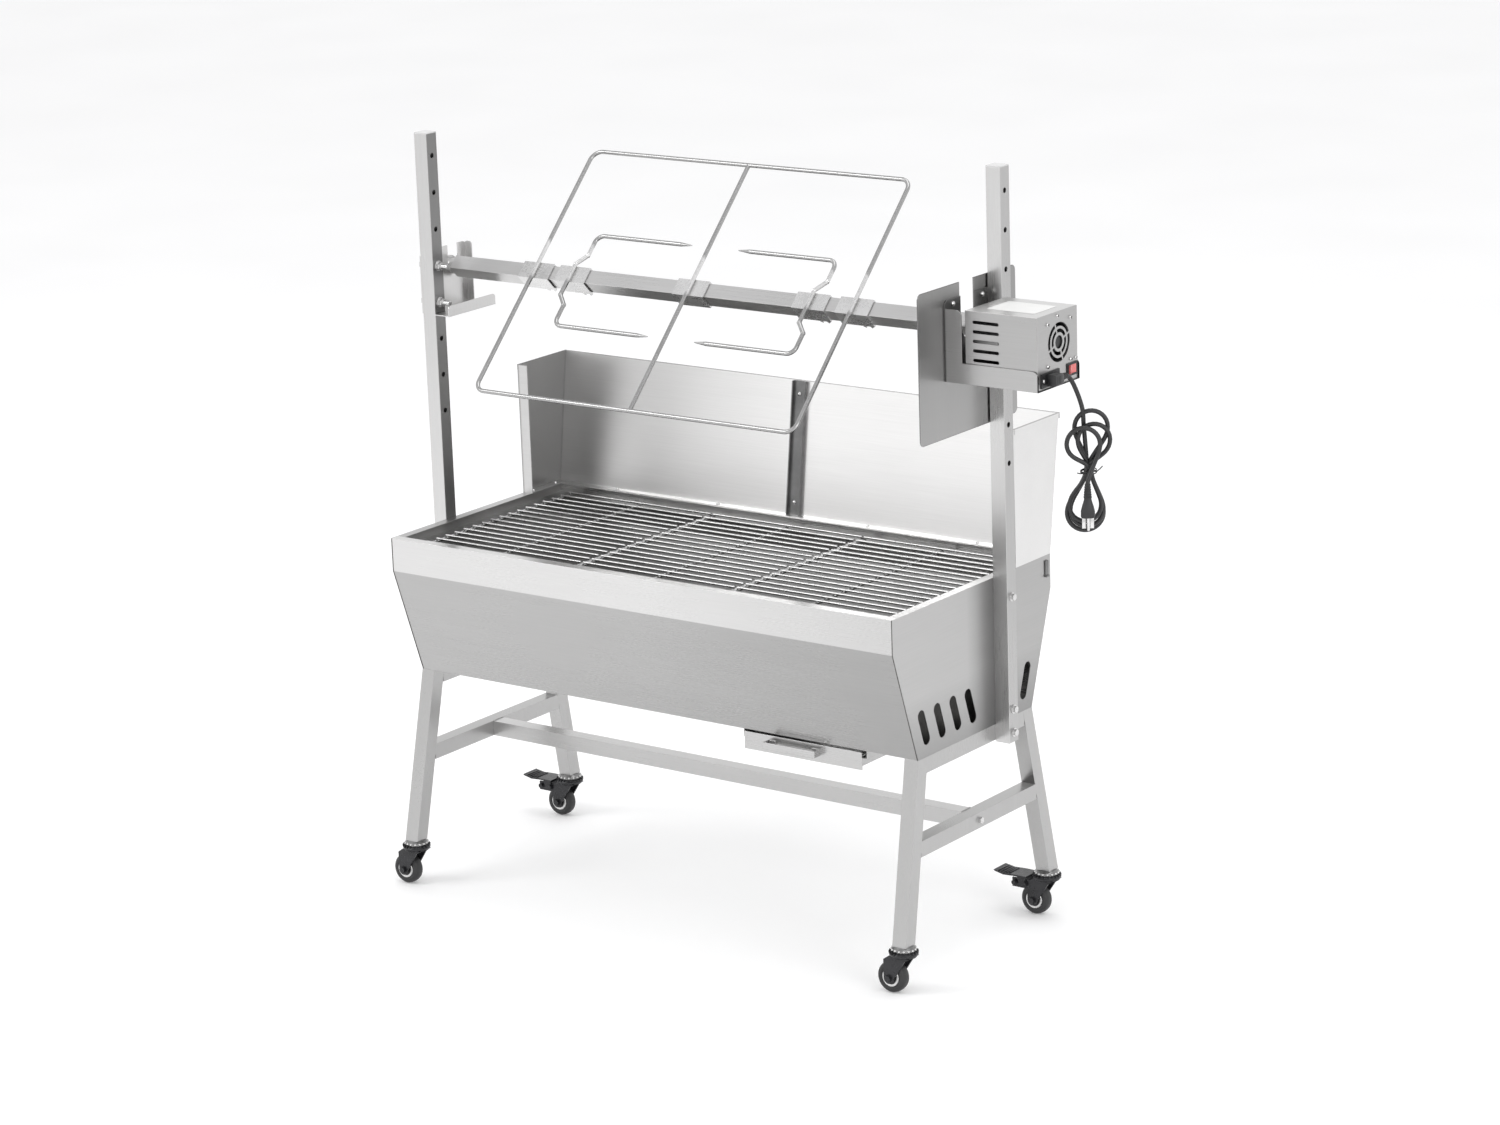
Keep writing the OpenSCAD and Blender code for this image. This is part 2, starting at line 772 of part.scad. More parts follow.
module ash_drawer() {
    half = drawer_body_w / 2;
    low = drawer_top - drawer_h + 2;
    wall = 1.2;
    front = -half_base - 1;
    color(steel) translate([drawer_x, 0, 0]) {
        difference() {
            slab([-half, front, low], [half, drawer_back, drawer_top - 4]);
            slab([-half + wall, front + wall, low + wall], [half - wall, drawer_back - wall, drawer_top]);
        }
        for (s = [-1, 1]) slab([s * (half + 5) - 5, front + 6, drawer_top - 4 - wall],
                               [s * (half + 5) + 5, drawer_back, drawer_top - 4]);
        slab([-drawer_w / 2, front - sheet, drawer_top - drawer_h], [drawer_w / 2, front + eps, drawer_top]);
    }
}

module drawer_handle() {
    front = -half_base - 1 - sheet;
    z = drawer_top - 12;
    color(steel) translate([drawer_x - 16, 0, 0]) {
        for (s = [-1, 1]) slab([s * 40 - 6, front - 2, z - 5], [s * 40 + 6, front, z + 5]);
        for (s = [-1, 1]) slab([s * 48 - 1, front - 14, z - 5], [s * 48 + 1, front, z + 5]);
        slab([-49, front - 15.5, z - 5], [49, front - 13.5, z + 5]);
    }
}

// ---------- casters ----------

// screwed stem with the fixed half of the swivel race, and the plug in the leg that takes it
module caster_stems() {
    inside = 13;
    color("dimgray") for (c = casters) translate([c[0], c[1], 0]) {
        translate([0, 0, head_z - 3]) cylinder(r = stem_r, h = caster_h - head_z + 23);
        translate([0, 0, head_z - 4]) cylinder(r = 8, h = 3.6);
        translate([0, 0, race_z]) cylinder(r = 19, h = 4);
        translate([0, 0, race_z + 4 - eps]) cylinder(r1 = 19, r2 = 15, h = 3 + eps);
        difference() {
            translate([-inside / 2, -inside / 2, caster_h + 0.4]) cube([inside, inside, 12]);
            translate([0, 0, caster_h]) cylinder(r = stem_r, h = 20);
        }
    }
}

module fork_side(braked) {
    polygon([[-trail - 9, axle_z], [-trail + 9, axle_z], [10, head_z - 4], [19, head_z + 1],
             [-19, head_z + 1], [-trail - 9, head_z - 6]]);
    translate([-trail, axle_z]) circle(r = 9);
    if (braked) {
        translate([pedal_pivot[0] - 24, pedal_pivot[1] - 8]) square([44, 15]);
    }
}

module caster_fork(c) {
    inner = wheel_w / 2 + 1.5;
    outer = inner + 2.5;
    color(dark) translate([c[0], c[1], 0]) {
        difference() {
            union() {
                translate([0, 0, head_z]) cylinder(r = 20, h = race_z - head_z - 0.5);
                for (s = [-1, 1]) along_y(s * (inner + outer) / 2 - 1.25, s * (inner + outer) / 2 + 1.25)
                    fork_side(c[2]);
            }
            translate([0, 0, head_z - 1]) cylinder(r = stem_r + 0.05, h = 20);
            rod_y(-outer - 1, outer + 1, -trail, axle_z, 3);
            if (c[2]) for (dx = [0, -19]) rod_y(-outer - 1, outer + 1, pedal_pivot[0] + dx, pedal_pivot[1], 2.5);
        }
    }
    color(steel) translate([c[0], c[1], 0]) {
        rod_y(-outer - 1, outer + 1, -trail, axle_z, 3);
        for (s = [-1, 1]) translate([-trail, s * (outer + 2.2), axle_z]) rotate([90, 0, 0])
            cylinder(r = 5.5, h = 4, center = true, $fn = 6);
        if (c[2]) for (dx = [0, -19]) {
            rod_y(-outer - 3.2, outer + 3.2, pedal_pivot[0] + dx, pedal_pivot[1], 2.5);
            for (s = [-1, 1]) translate([pedal_pivot[0] + dx, s * (outer + 4), pedal_pivot[1]])
                rotate([90, 0, 0]) cylinder(r = 4, h = 1.7, center = true);
        }
    }
}

module caster_wheel(c) {
    color(dark) translate([c[0] - trail, c[1], axle_z]) rotate([90, 0, 0]) difference() {
        rotate_extrude() polygon([
            [3.05, -wheel_w / 2 - 1], [6, -wheel_w / 2 - 1], [6, -wheel_w / 2 + 1.5], [14, -wheel_w / 2 + 2.5],
            [16, -wheel_w / 2 + 0.5], [wheel_d / 2 - 3, -wheel_w / 2], [wheel_d / 2, -wheel_w / 2 + 3.5],
            [wheel_d / 2, wheel_w / 2 - 3.5], [wheel_d / 2 - 3, wheel_w / 2], [16, wheel_w / 2 - 0.5],
            [14, wheel_w / 2 - 2.5], [6, wheel_w / 2 - 1.5], [6, wheel_w / 2 + 1], [3.05, wheel_w / 2 + 1]
        ]);
    }
}

// a treadle that tips about a rivet in the fork
module brake_pedal(c) {
    ear = wheel_w / 2 + 4.3;
    color(dark) translate([c[0], c[1], 0]) difference() {
        union() {
            for (s = [-1, 1]) along_y(s * (ear + 1) - 0.9, s * (ear + 1) + 0.9) {
                translate(pedal_pivot) circle(r = 5);
                translate([pedal_pivot[0] - 14, pedal_pivot[1] - 3]) square([14, 8]);
                polygon([[pedal_pivot[0] - 14, pedal_pivot[1] + 5], [pedal_pivot[0] + 2, pedal_pivot[1] + 5],
                         [pedal_pivot[0] + 2, 62], [pedal_pivot[0] - 14, 62]]);
            }
            along_y(-18, 18) polygon([[pedal_pivot[0] + 4, 61.5], [pedal_pivot[0] - 22, 61.5],
                [-72, 60.5], [-88, 64], [-90, 66], [-72, 63], [pedal_pivot[0] - 20, 64], [pedal_pivot[0] + 4, 64]]);
        }
        rod_y(-30, 30, pedal_pivot[0], pedal_pivot[1], 2.55);
        for (s = [-1, 1]) translate([pedal_pivot[0] - 19, s * (ear + 1), pedal_pivot[1]]) rotate([90, 0, 0])
            cylinder(r = 8, h = 2.4, center = true);
    }
}

// ---------- cooking grates ----------

module grate_panel(x) {
    half = grate_len / 2 - 2.5;
    span = (grate_wires - 1) * grate_pitch;
    long_z = grate_top - wire_d / 2;
    cross_z = ledge_z + cross_d / 2;
    color(steel) {
        for (i = [0:grate_wires - 1])
            rod_x(x - half, x + half, -span / 2 + i * grate_pitch, long_z + 0.15, wire_d / 2);
        for (dx = [-half, 0, half]) rod_y(-span / 2 - 2, span / 2 + 2, x + dx, cross_z + 0.15, cross_d / 2);
    }
}

module grate_left() {
    grate_panel(-grate_len);
}

module grate_middle() {
    grate_panel(0);
}

module grate_right() {
    grate_panel(grate_len);
}

// ---------- spit and what slides on it ----------

// children are drawn along X with the bar's faces square to Y and Z
module on_spit() {
    translate([0, 0, spit_z]) rotate([spit_tilt, 0, 0]) children();
}

module spit_bar() {
    wall = 2;
    color(steel) on_spit() {
        difference() {
            slab([bar_left, -bar / 2, -bar / 2], [bar_right, bar / 2, bar / 2]);
            slab([bar_left + 12, -bar / 2 + wall, -bar / 2 + wall], [bar_right + 1, bar / 2 - wall, bar / 2 - wall]);
        }
        rod_x(web_out - 5, bar_left + eps, 0, 0, journal_r);
        rod_x(web_out - 8, web_out - 4, 0, 0, journal_r + 4);
    }
}

// the square socket that turns the bar, and the output shaft behind it
module drive_socket() {
    depth = 28;
    color("dimgray") on_spit() {
        difference() {
            rod_x(case_x - 2, case_x + depth + 4, 0, 0, socket_r);
            slab([case_x - 3, -bar / 2 - 0.3, -bar / 2 - 0.3], [case_x + depth, bar / 2 + 0.3, bar / 2 + 0.3]);
        }
        rod_x(case_x + depth + 4 - eps, case_x + 70, 0, 0, shaft_r);
    }
}

module sleeve(x, screwed) {
    out = sleeve_side / 2;
    in = sleeve_hole / 2;
    difference() {
        slab([x - sleeve_len / 2, -out, -out], [x + sleeve_len / 2, out, out]);
        slab([x - sleeve_len, -in, -in], [x + sleeve_len, in, in]);
        if (screwed) translate([x, 0, -out - 1]) cylinder(r = screw_r + 0.05, h = out);
    }
}

module rod(a, b, r) {
    d = b - a;
    translate(a) rotate([0, acos(d[2] / norm(d)), atan2(d[1], d[0])]) cylinder(r = r, h = norm(d));
}

// a quarter bend of wire in the XY plane, about the point c, from the angle a on
module bend(c, radius, a, turn, r) {
    translate(c) rotate([0, 0, a]) rotate_extrude(angle = turn) translate([radius, 0]) circle(r = r, $fn = 24);
}

module roast_rack() {
    r = rack_wire / 2;
    hx = rack_len / 2;
    hy = rack_w / 2;
    k = rack_corner;
    color(steel) on_spit() translate([rack_x, 0, 0]) {
        for (s = [-1, 1]) {
            rod([-hx + k, s * hy, wire_n], [hx - k, s * hy, wire_n], r);
            rod([s * hx, -hy + k, wire_n], [s * hx, hy - k, wire_n], r);
        }
        rod([0, -hy, wire_n], [0, hy, wire_n], r);
        bend([hx - k, hy - k, wire_n], k, 0, 90, r);
        bend([-hx + k, hy - k, wire_n], k, 90, 90, r);
        bend([-hx + k, -hy + k, wire_n], k, 180, 90, r);
        bend([hx - k, -hy + k, wire_n], k, 270, 90, r);
        sleeve(-hx, true);
        sleeve(0, false);
        sleeve(hx, true);
    }
}

// one prong with its half of the bow, in the plane of the wire centres
module fork_half(bow) {
    r = fork_wire / 2;
    h = fork_spread / 2;
    k = fork_corner;
    tip = bow + prong_len;
    path = [[0, 0, fork_n], [0, 30, fork_n], [bow, 48, fork_n], [bow, h - k, fork_n]];
    for (i = [0:2]) rod(path[i], path[i + 1], r);
    for (i = [1, 2]) translate(path[i]) rotate([0, 0, 20]) sphere(r = r + 0.4, $fn = 48);
    bend([bow + k, h - k, fork_n], k, 90, 90, r);
    rod([bow + k, h, fork_n], [tip - 22, h, fork_n], r);
    translate([tip - 22, h, fork_n]) rotate([0, 90, 0]) cylinder(r1 = r, r2 = 0.8, h = 22);
}

// two prongs that point along +X from a wire bowed round the sleeve
module fork(bow) {
    color(steel) {
        translate([0, fork_offset, 0]) {
            fork_half(bow);
            mirror([0, 1, 0]) fork_half(bow);
        }
        sleeve(0, true);
    }
}

module fork_left() {
    on_spit() translate([fork_left_x, 0, 0]) fork(left_bow);
}

module fork_right() {
    on_spit() translate([fork_right_x, 0, 0]) mirror([1, 0, 0]) fork(right_bow);
}

// a wing screw through the sleeve's lower rear face
module wing_screw(x) {
    face = -sleeve_side / 2;
    color(steel) on_spit() translate([x, 0, 0]) {
        translate([0, 0, face - 10]) cylinder(r = screw_r, h = sleeve_side / 2 - bar / 2 + 9);
        translate([0, 0, face - 12]) cylinder(r1 = 3.5, r2 = 5.5, h = 9);
        translate([0, 0, face - 12]) rotate([90, 0, 0]) linear_extrude(2.6, center = true)
            polygon([[-4, 6], [-9, -4], [-9.5, -13], [-5, -16], [-2, -6], [2, -6], [5, -16],
                     [9.5, -13], [9, -4], [4, 6]]);
    }
}

module rack_screw_left() {
    wing_screw(rack_x - rack_len / 2);
}

module rack_screw_right() {
    wing_screw(rack_x + rack_len / 2);
}

module fork_screw_left() {
    wing_screw(fork_left_x);
}

module fork_screw_right() {
    wing_screw(fork_right_x);
}

// ---------- mains lead ----------

// an angled connector that lies along the end plate
module cord_connector() {
    x0 = case_end + 2;
    color(dark) {
        slab([x0, inlet_y - 13, inlet_z - 9], [x0 + 17, inlet_y + 17, inlet_z + 9]);
        translate([x0 + 8, inlet_y + 17 - eps, inlet_z]) rotate([-90, 0, 0]) cylinder(r1 = 5.2, r2 = 4.3, h = 11.5);
    }
}

function unit(v) = v / norm(v);

function tangent(p, i) = unit(p[min(i + 1, len(p) - 1)] - p[max(i - 1, 0)]);

// a tube of n sides swept along the points
module swept(p, d, n) {
    side = [for (i = [0:len(p) - 1]) unit(cross(tangent(p, i), [1, 0.35, 0]))];
    rings = [for (i = [0:len(p) - 1], j = [0:n - 1])
        let (t = tangent(p, i), u = side[i], w = cross(t, u), a = 360 * j / n)
        p[i] + d / 2 * (cos(a) * u + sin(a) * w)];
    walls = [for (i = [0:len(p) - 2], j = [0:n - 1])
        [i * n + j, i * n + (j + 1) % n, (i + 1) * n + (j + 1) % n, (i + 1) * n + j]];
    first = [for (j = [n - 1:-1:0]) j];
    last = [for (j = [0:n - 1]) (len(p) - 1) * n + j];
    polyhedron(rings, concat([first], walls, [last]));
}

module cord_lead() {
    color(dark) swept(cord_path, cord_d, 8);
}

// the outer shape of three loops of lead, hanging from its first strand
module cord_hank() {
    color(dark) translate(hank_at) rotate([0, 0, hank_turn]) rotate([90, 0, 0])
        linear_extrude(hank[2], center = true) obround(hank[0], hank[1]);
}

module cord_plug() {
    color(dark) translate(plug_at) rotate([0, 0, hank_turn]) {
        translate([0, 0, -16]) cylinder(r = 11, h = 30);
        translate([0, 0, 14 - eps]) cylinder(r1 = 7, r2 = 4.5, h = 22);
    }
    color("gold") translate(plug_at) rotate([0, 0, hank_turn]) {
        for (x = [-6, 6]) translate([x - 3, -0.8, -33]) cube([6, 1.6, 17 + eps]);
        translate([0, -5.5, -36]) cylinder(r = 2.4, h = 20 + eps);
    }
}

// ---------- what is drawn ----------

left_leg_frame();
right_leg_frame();
stretcher();
left_post();
right_post();
post_caps();
trough_shell();
left_end_panel();
right_end_panel();
grate_ledges();
charcoal_grate();
windscreen_left();
windscreen_right();
windscreen_seam();
frame_bolts();
bracket_bolts();
sheet_screws();
left_bracket();
motor_bracket();
heat_shield();
motor_case();
motor_end_plate();
gear_motor();
fan_frame();
fan_rotor();
case_screws();
switch_bezel();
switch_rocker();
power_inlet();
drawer_runners();
ash_drawer();
drawer_handle();
caster_stems();
caster_fork(casters[0]);  // caster_fork_fl
caster_fork(casters[1]);  // caster_fork_fr
caster_fork(casters[2]);  // caster_fork_rl
caster_fork(casters[3]);  // caster_fork_rr
caster_wheel(casters[0]);  // caster_wheel_fl
caster_wheel(casters[1]);  // caster_wheel_fr
caster_wheel(casters[2]);  // caster_wheel_rl
caster_wheel(casters[3]);  // caster_wheel_rr
brake_pedal(casters[2]);  // brake_pedal_rl
brake_pedal(casters[3]);  // brake_pedal_rr
grate_left();
grate_middle();
grate_right();
spit_bar();
drive_socket();
roast_rack();
fork_left();
fork_right();
rack_screw_left();
rack_screw_right();
fork_screw_left();
fork_screw_right();
cord_connector();
cord_lead();
cord_hank();
cord_plug();
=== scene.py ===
import math
import bmesh
import bpy
from mathutils import Matrix, Vector


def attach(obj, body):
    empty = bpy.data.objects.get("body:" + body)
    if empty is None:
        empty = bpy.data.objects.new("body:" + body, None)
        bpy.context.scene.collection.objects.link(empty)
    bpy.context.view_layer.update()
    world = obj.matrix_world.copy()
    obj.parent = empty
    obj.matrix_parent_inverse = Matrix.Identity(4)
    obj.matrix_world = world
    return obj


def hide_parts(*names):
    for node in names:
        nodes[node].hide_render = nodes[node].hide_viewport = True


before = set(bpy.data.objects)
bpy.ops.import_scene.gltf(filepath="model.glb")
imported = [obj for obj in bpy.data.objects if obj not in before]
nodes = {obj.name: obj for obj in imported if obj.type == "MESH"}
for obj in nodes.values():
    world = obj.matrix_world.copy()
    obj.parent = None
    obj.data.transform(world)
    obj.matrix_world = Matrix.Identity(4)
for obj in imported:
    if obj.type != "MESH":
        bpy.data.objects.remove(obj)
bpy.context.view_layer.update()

MM = 0.001


# ---------- camera ----------

CAMERA_AT = (3.892, -5.143, 2.309)
CAMERA_ANGLES = (36.63, 15.13, -1.95)     # azimuth, elevation and roll, in degrees


def make_camera():
    azimuth, elevation, roll = (math.radians(a) for a in CAMERA_ANGLES)
    back = Vector((math.sin(azimuth) * math.cos(elevation), -math.cos(azimuth) * math.cos(elevation),
                   math.sin(elevation)))
    right = Vector((math.cos(azimuth), math.sin(azimuth), 0))
    up = back.cross(right)
    right_rolled = math.cos(roll) * right + math.sin(roll) * up
    up_rolled = math.cos(roll) * up - math.sin(roll) * right
    data = bpy.data.cameras.new("camera")
    data.sensor_width = 36
    data.lens = 100.75
    data.clip_start, data.clip_end = 0.1, 60
    cam = bpy.data.objects.new("camera", data)
    bpy.context.scene.collection.objects.link(cam)
    turn = Matrix((right_rolled, up_rolled, back)).transposed().to_4x4()
    cam.matrix_world = Matrix.Translation(CAMERA_AT) @ turn
    bpy.context.scene.camera = cam


make_camera()


# ---------- materials ----------

AXES = {"x": (1, 0, 0), "y": (0, 1, 0), "z": (0, 0, 1)}


class Nodes:
    """A material's node tree, with short calls for what is used here."""

    def __init__(self, name):
        self.mat = bpy.data.materials.new(name)
        self.mat.use_nodes = True
        self.nt = self.mat.node_tree
        self.nt.nodes.clear()
        self.out = self.new("ShaderNodeOutputMaterial")
        self.shader = self.new("ShaderNodeBsdfPrincipled")
        self.link(self.shader.outputs["BSDF"], self.out.inputs["Surface"])
        self.coord = self.new("ShaderNodeTexCoord").outputs["Object"]

    def new(self, kind):
        return self.nt.nodes.new(kind)

    def link(self, a, b):
        self.nt.links.new(a, b)

    def noise(self, scale, detail=3, rough=0.55, stretch=None):
        n = self.new("ShaderNodeTexNoise")
        n.inputs["Scale"].default_value = scale
        n.inputs["Detail"].default_value = detail
        n.inputs["Roughness"].default_value = rough
        vector = self.coord
        if stretch:
            m = self.new("ShaderNodeMapping")
            m.inputs["Scale"].default_value = stretch
            self.link(self.coord, m.inputs["Vector"])
            vector = m.outputs["Vector"]
        self.link(vector, n.inputs["Vector"])
        return n.outputs["Fac"]

    def span(self, value, low, high, start=0.3, end=0.7):
        n = self.new("ShaderNodeMapRange")
        n.inputs["From Min"].default_value = start
        n.inputs["From Max"].default_value = end
        n.inputs["To Min"].default_value = low
        n.inputs["To Max"].default_value = high
        self.link(value, n.inputs["Value"])
        return n.outputs["Result"]

    def add(self, a, b):
        n = self.new("ShaderNodeMath")
        n.operation = "ADD"
        self.link(a, n.inputs[0])
        self.link(b, n.inputs[1])
        return n.outputs[0]

    def mix(self, value, first, second):
        n = self.new("ShaderNodeMix")
        n.data_type = "RGBA"
        n.inputs[6].default_value = (*first, 1)
        n.inputs[7].default_value = (*second, 1)
        self.link(value, n.inputs[0])
        return n.outputs[2]

    def with_painted_shades(self, colour, painted_shades):
        """The colour scaled along directions of the object as painted light and shade, with each tone given
        as (direction, first place, last place, factor there, factor there), the places in metres."""
        for direction, start, end, low, high in painted_shades:
            along = self.new("ShaderNodeVectorMath")
            along.operation = "DOT_PRODUCT"
            along.inputs[1].default_value = AXES.get(direction, direction)
            self.link(self.coord, along.inputs[0])
            scale = self.new("ShaderNodeVectorMath")
            scale.operation = "SCALE"
            self.link(colour, scale.inputs[0])
            self.link(self.span(along.outputs["Value"], low, high, start, end), scale.inputs["Scale"])
            colour = scale.outputs[0]
        return colour

    def bump(self, height, strength, distance, edge=None):
        n = self.new("ShaderNodeBump")
        n.inputs["Strength"].default_value = strength
        n.inputs["Distance"].default_value = distance
        self.link(height, n.inputs["Height"])
        if edge:
            b = self.new("ShaderNodeBevel")
            b.samples = 4
            b.inputs["Radius"].default_value = edge
            self.link(b.outputs["Normal"], n.inputs["Normal"])
        self.link(n.outputs["Normal"], self.shader.inputs["Normal"])

    def set(self, **values):
        for key, value in values.items():
            self.shader.inputs[key.replace("_", " ")].default_value = value


STEEL_WARMTH = 0.006
FOLD_RADIUS = 0.0007      # of the sheet's edges, m


def grey(v, warm):
    return (v * (1 + warm), v, v * (1 - warm))


def brushed(name, grain, level, rough=0.28, painted_shades=()):
    """Rolled stainless sheet, brushed along one axis, with faint cloudy handling marks."""
    t = Nodes(name)
    fine = [9 if axis == grain else 900 for axis in "xyz"]
    broad = [3 if axis == grain else 26 for axis in "xyz"]
    lines = t.noise(1, 3, 0.6, fine)
    bands = t.noise(1, 2, 0.5, broad)
    cloud = t.noise(4, 2, 0.5)
    both = t.add(t.span(lines, 0, 0.7), t.span(bands, 0, 0.3))
    colour = t.mix(both, grey(level * 0.955, STEEL_WARMTH), grey(level * 1.035, STEEL_WARMTH))
    # painted light and shade: the grained colour is scaled by the given light and shade factors
    t.link(t.with_painted_shades(colour, painted_shades), t.shader.inputs["Base Color"])
    t.link(t.add(t.span(lines, rough - 0.02, rough + 0.03), t.span(cloud, -0.02, 0.04)),
           t.shader.inputs["Roughness"])
    t.set(Metallic=1.0)
    t.bump(lines, 0.05, 0.00005, FOLD_RADIUS)
    return t.mat


def polished(name, low, high, rough, painted_shades=()):
    """Drawn wire or plated hardware, with a faint drawing grain and small dull patches."""
    t = Nodes(name)
    marks = t.noise(260, 3, 0.6)
    cloud = t.noise(22, 2, 0.5)
    colour = t.mix(t.span(marks, 0, 1), grey(low, 0.004), grey(high, 0.004))
    # painted light and shade: the colour is scaled by the given light and shade factors
    t.link(t.with_painted_shades(colour, painted_shades), t.shader.inputs["Base Color"])
    t.link(t.add(t.span(marks, rough - 0.03, rough + 0.05), t.span(cloud, -0.02, 0.07)),
           t.shader.inputs["Roughness"])
    t.set(Metallic=1.0)
    t.bump(marks, 0.04, 0.00003)
    return t.mat


def dull(name, low, high, rough, scale, metal, bump, depth=0.0001, edge=None):
    """Moulded, painted or darkened surfaces: two close colours mixed by noise, with a fine texture."""
    t = Nodes(name)
    fine = t.noise(scale, 4, 0.6)
    patch = t.noise(30, 3, 0.55)
    t.link(t.mix(t.span(patch, 0, 1), low, high), t.shader.inputs["Base Color"])
    t.link(t.add(t.span(fine, rough[0], rough[1]), t.span(patch, -0.05, 0.05)), t.shader.inputs["Roughness"])
    t.set(Metallic=metal)
    t.bump(fine, bump, depth, edge)
    return t.mat


# each part's brushed steel has its own colour level; beyond the steel's own colour, the spread of these
# levels is painted light and shade, with the windscreens raised far above the rest and the heat shield
# lowered below it
LEGS = brushed("leg_steel", "z", 0.45)
# painted light and shade: the stretcher's top face, above z 232.9 mm, is lightened and its sides below z
# 232.4 mm are darkened
BARS = brushed("bar_steel", "x", 0.52, painted_shades=[("z", 0.2324, 0.2329, 0.88, 1.12)])
# painted shade: the left post's side face, behind its front face at y -80.3 mm, is darkened
POST_LEFT = brushed("left_post_steel", "z", 0.59, painted_shades=[("y", -0.0803, -0.0788, 1.0, 0.40)])
# painted shade and light: the right post's side face, beyond y 57.2 mm, is darkened, and the post grows
# lighter towards its top
POST_RIGHT = brushed("right_post_steel", "z", 0.58, painted_shades=[
    ("y", 0.0557, 0.0572, 1.0, 0.82), ("z", 0.55, 1.15, 0.95, 1.04)])
BRACKET = brushed("bracket_steel", "z", 0.63)
# painted shade: the motor bracket's end faces, past x 650.9 mm, are near black, and its part below x 489.5
# mm, inside the post, is darkened
CARRIER = brushed("motor_bracket_steel", "x", 0.45, painted_shades=[
    ("x", 0.6505, 0.6509, 1.0, 0.02), ("x", 0.4895, 0.4915, 0.30, 1.0)])
# painted light: the top face of the motor case, above z 1037.4 mm, is lightened
CASE = brushed("motor_case_steel", "x", 0.43, painted_shades=[("z", 1.0371, 1.0374, 1.0, 1.36)])
BAR = brushed("spit_steel", "x", 0.56)
STEEL_Y = brushed("steel_y", "y", 0.46)
# painted light and shade: the upper band above the fold near z 540 mm is lightened and the lower slope
# darkened, and the trough darkens towards its right end
TROUGH = brushed("trough_steel", "x", 0.46, 0.27, [
    ("z", 0.5394, 0.5406, 0.90, 1.36), ("x", 0.0, 0.49, 1.0, 0.86)])
# painted shade and light: the left end panel darkens towards its bottom and next to the post, and is
# lightened in front of the post
PANEL_LEFT = brushed("left_panel_steel", "y", 0.47, 0.30, [
    ("z", 0.36, 0.46, 0.68, 1.0), ("y", -0.055, 0.02, 0.60, 1.0), ("y", -0.100, -0.0805, 1.5, 1.0)])
# painted shade and light: the right end panel darkens towards its bottom and next to the post, and is
# lightened beyond the post
PANEL_RIGHT = brushed("right_panel_steel", "y", 0.47, 0.30, [
    ("z", 0.36, 0.46, 0.68, 1.0), ("y", -0.02, 0.055, 1.0, 0.45), ("y", 0.0805, 0.100, 1.0, 2.0)])
# square to the leaning back wall, whose outer face gets painted shade, darker than its inner one
THROUGH_WALL = (0, 1, -0.13636)
OUTER_FACE_SHADE = (THROUGH_WALL, 0.1368, 0.1376, 1.0, 0.60)
# painted shade along the windscreens' top edge, above z 814.6 mm
TOP_EDGE_SHADE = ("z", 0.8140, 0.8146, 1.0, 0.55)
# painted shade: the left windscreen darkens towards its left end, most past x -486 mm, besides its painted
# top-edge and outer-face shade
SCREEN_LEFT = brushed("left_screen_steel", "x", 0.86, 0.32, [
    ("x", -0.46, -0.02, 0.66, 0.98), ("x", -0.4905, -0.486, 0.30, 1.0), TOP_EDGE_SHADE, OUTER_FACE_SHADE])
# painted shade: the right windscreen's end, past x 489.5 mm, is darkened, besides its painted top-edge and
# outer-face shade
SCREEN_RIGHT = brushed("right_screen_steel", "x", 0.88, 0.32, [
    ("x", 0.4885, 0.4895, 1.0, 0.83), TOP_EDGE_SHADE, OUTER_FACE_SHADE])
TRAY = brushed("drawer_steel", "x", 0.49)
# painted light and shade: the heat shield lightens towards its bottom, and its front, top and bottom edges
# get outlines of painted shade
SHIELD = brushed("shield_steel", "z", 0.36, 0.30, [
    ("z", 0.84, 1.07, 1.06, 0.92), ("y", -0.1312, -0.1296, 0.55, 1.0), ("z", 1.0685, 1.0698, 1.0, 0.6),
    ("z", 0.8392, 0.8405, 0.6, 1.0)])
WIRE = polished("wire", 0.50, 0.54, 0.22)
# painted shade: the rack's wires darken beyond 22 mm in front of and behind its middle
RACK_WIRE = polished("rack_wire", 0.65, 0.68, 0.24, [
    ("y", -0.027, -0.022, 0.56, 1.0), ("y", 0.022, 0.027, 1.0, 0.56)])
RACE = polished("race_steel", 0.20, 0.30, 0.30)
ZINC = polished("zinc", 0.58, 0.70, 0.22)
# soot-darkened steel of the charcoal grate; the same dark colour is painted shade in the screw recesses and
# the panel seams
SOOT_AND_SHADE = dull("soot_and_shade_steel", (0.08, 0.078, 0.075), (0.15, 0.146, 0.14), (0.4, 0.7), 140, 0.6, 0.3, 0.0002)
SEAM = dull("seam_steel", (0.16, 0.16, 0.16), (0.24, 0.24, 0.24), (0.3, 0.45), 200, 0.8, 0.1)
CAP = dull("cap_grey", (0.52, 0.52, 0.52), (0.60, 0.60, 0.60), (0.3, 0.4), 300, 0.0, 0.1)
PLASTIC = dull("black_plastic", (0.012, 0.012, 0.013), (0.022, 0.022, 0.023), (0.35, 0.5), 900, 0.0, 0.2,
               0.00008)
STAMPED = dull("black_sheet", (0.012, 0.012, 0.014), (0.024, 0.024, 0.027), (0.22, 0.4), 180, 0.2, 0.12,
               0.0001, 0.0006)
TYRE = dull("tyre_rubber", (0.013, 0.013, 0.014), (0.026, 0.026, 0.027), (0.38, 0.6), 500, 0.0, 0.25, 0.0001)
RUBBER = dull("cord_rubber", (0.011, 0.011, 0.012), (0.02, 0.02, 0.021), (0.32, 0.48), 700, 0.0, 0.1,
              0.00005)
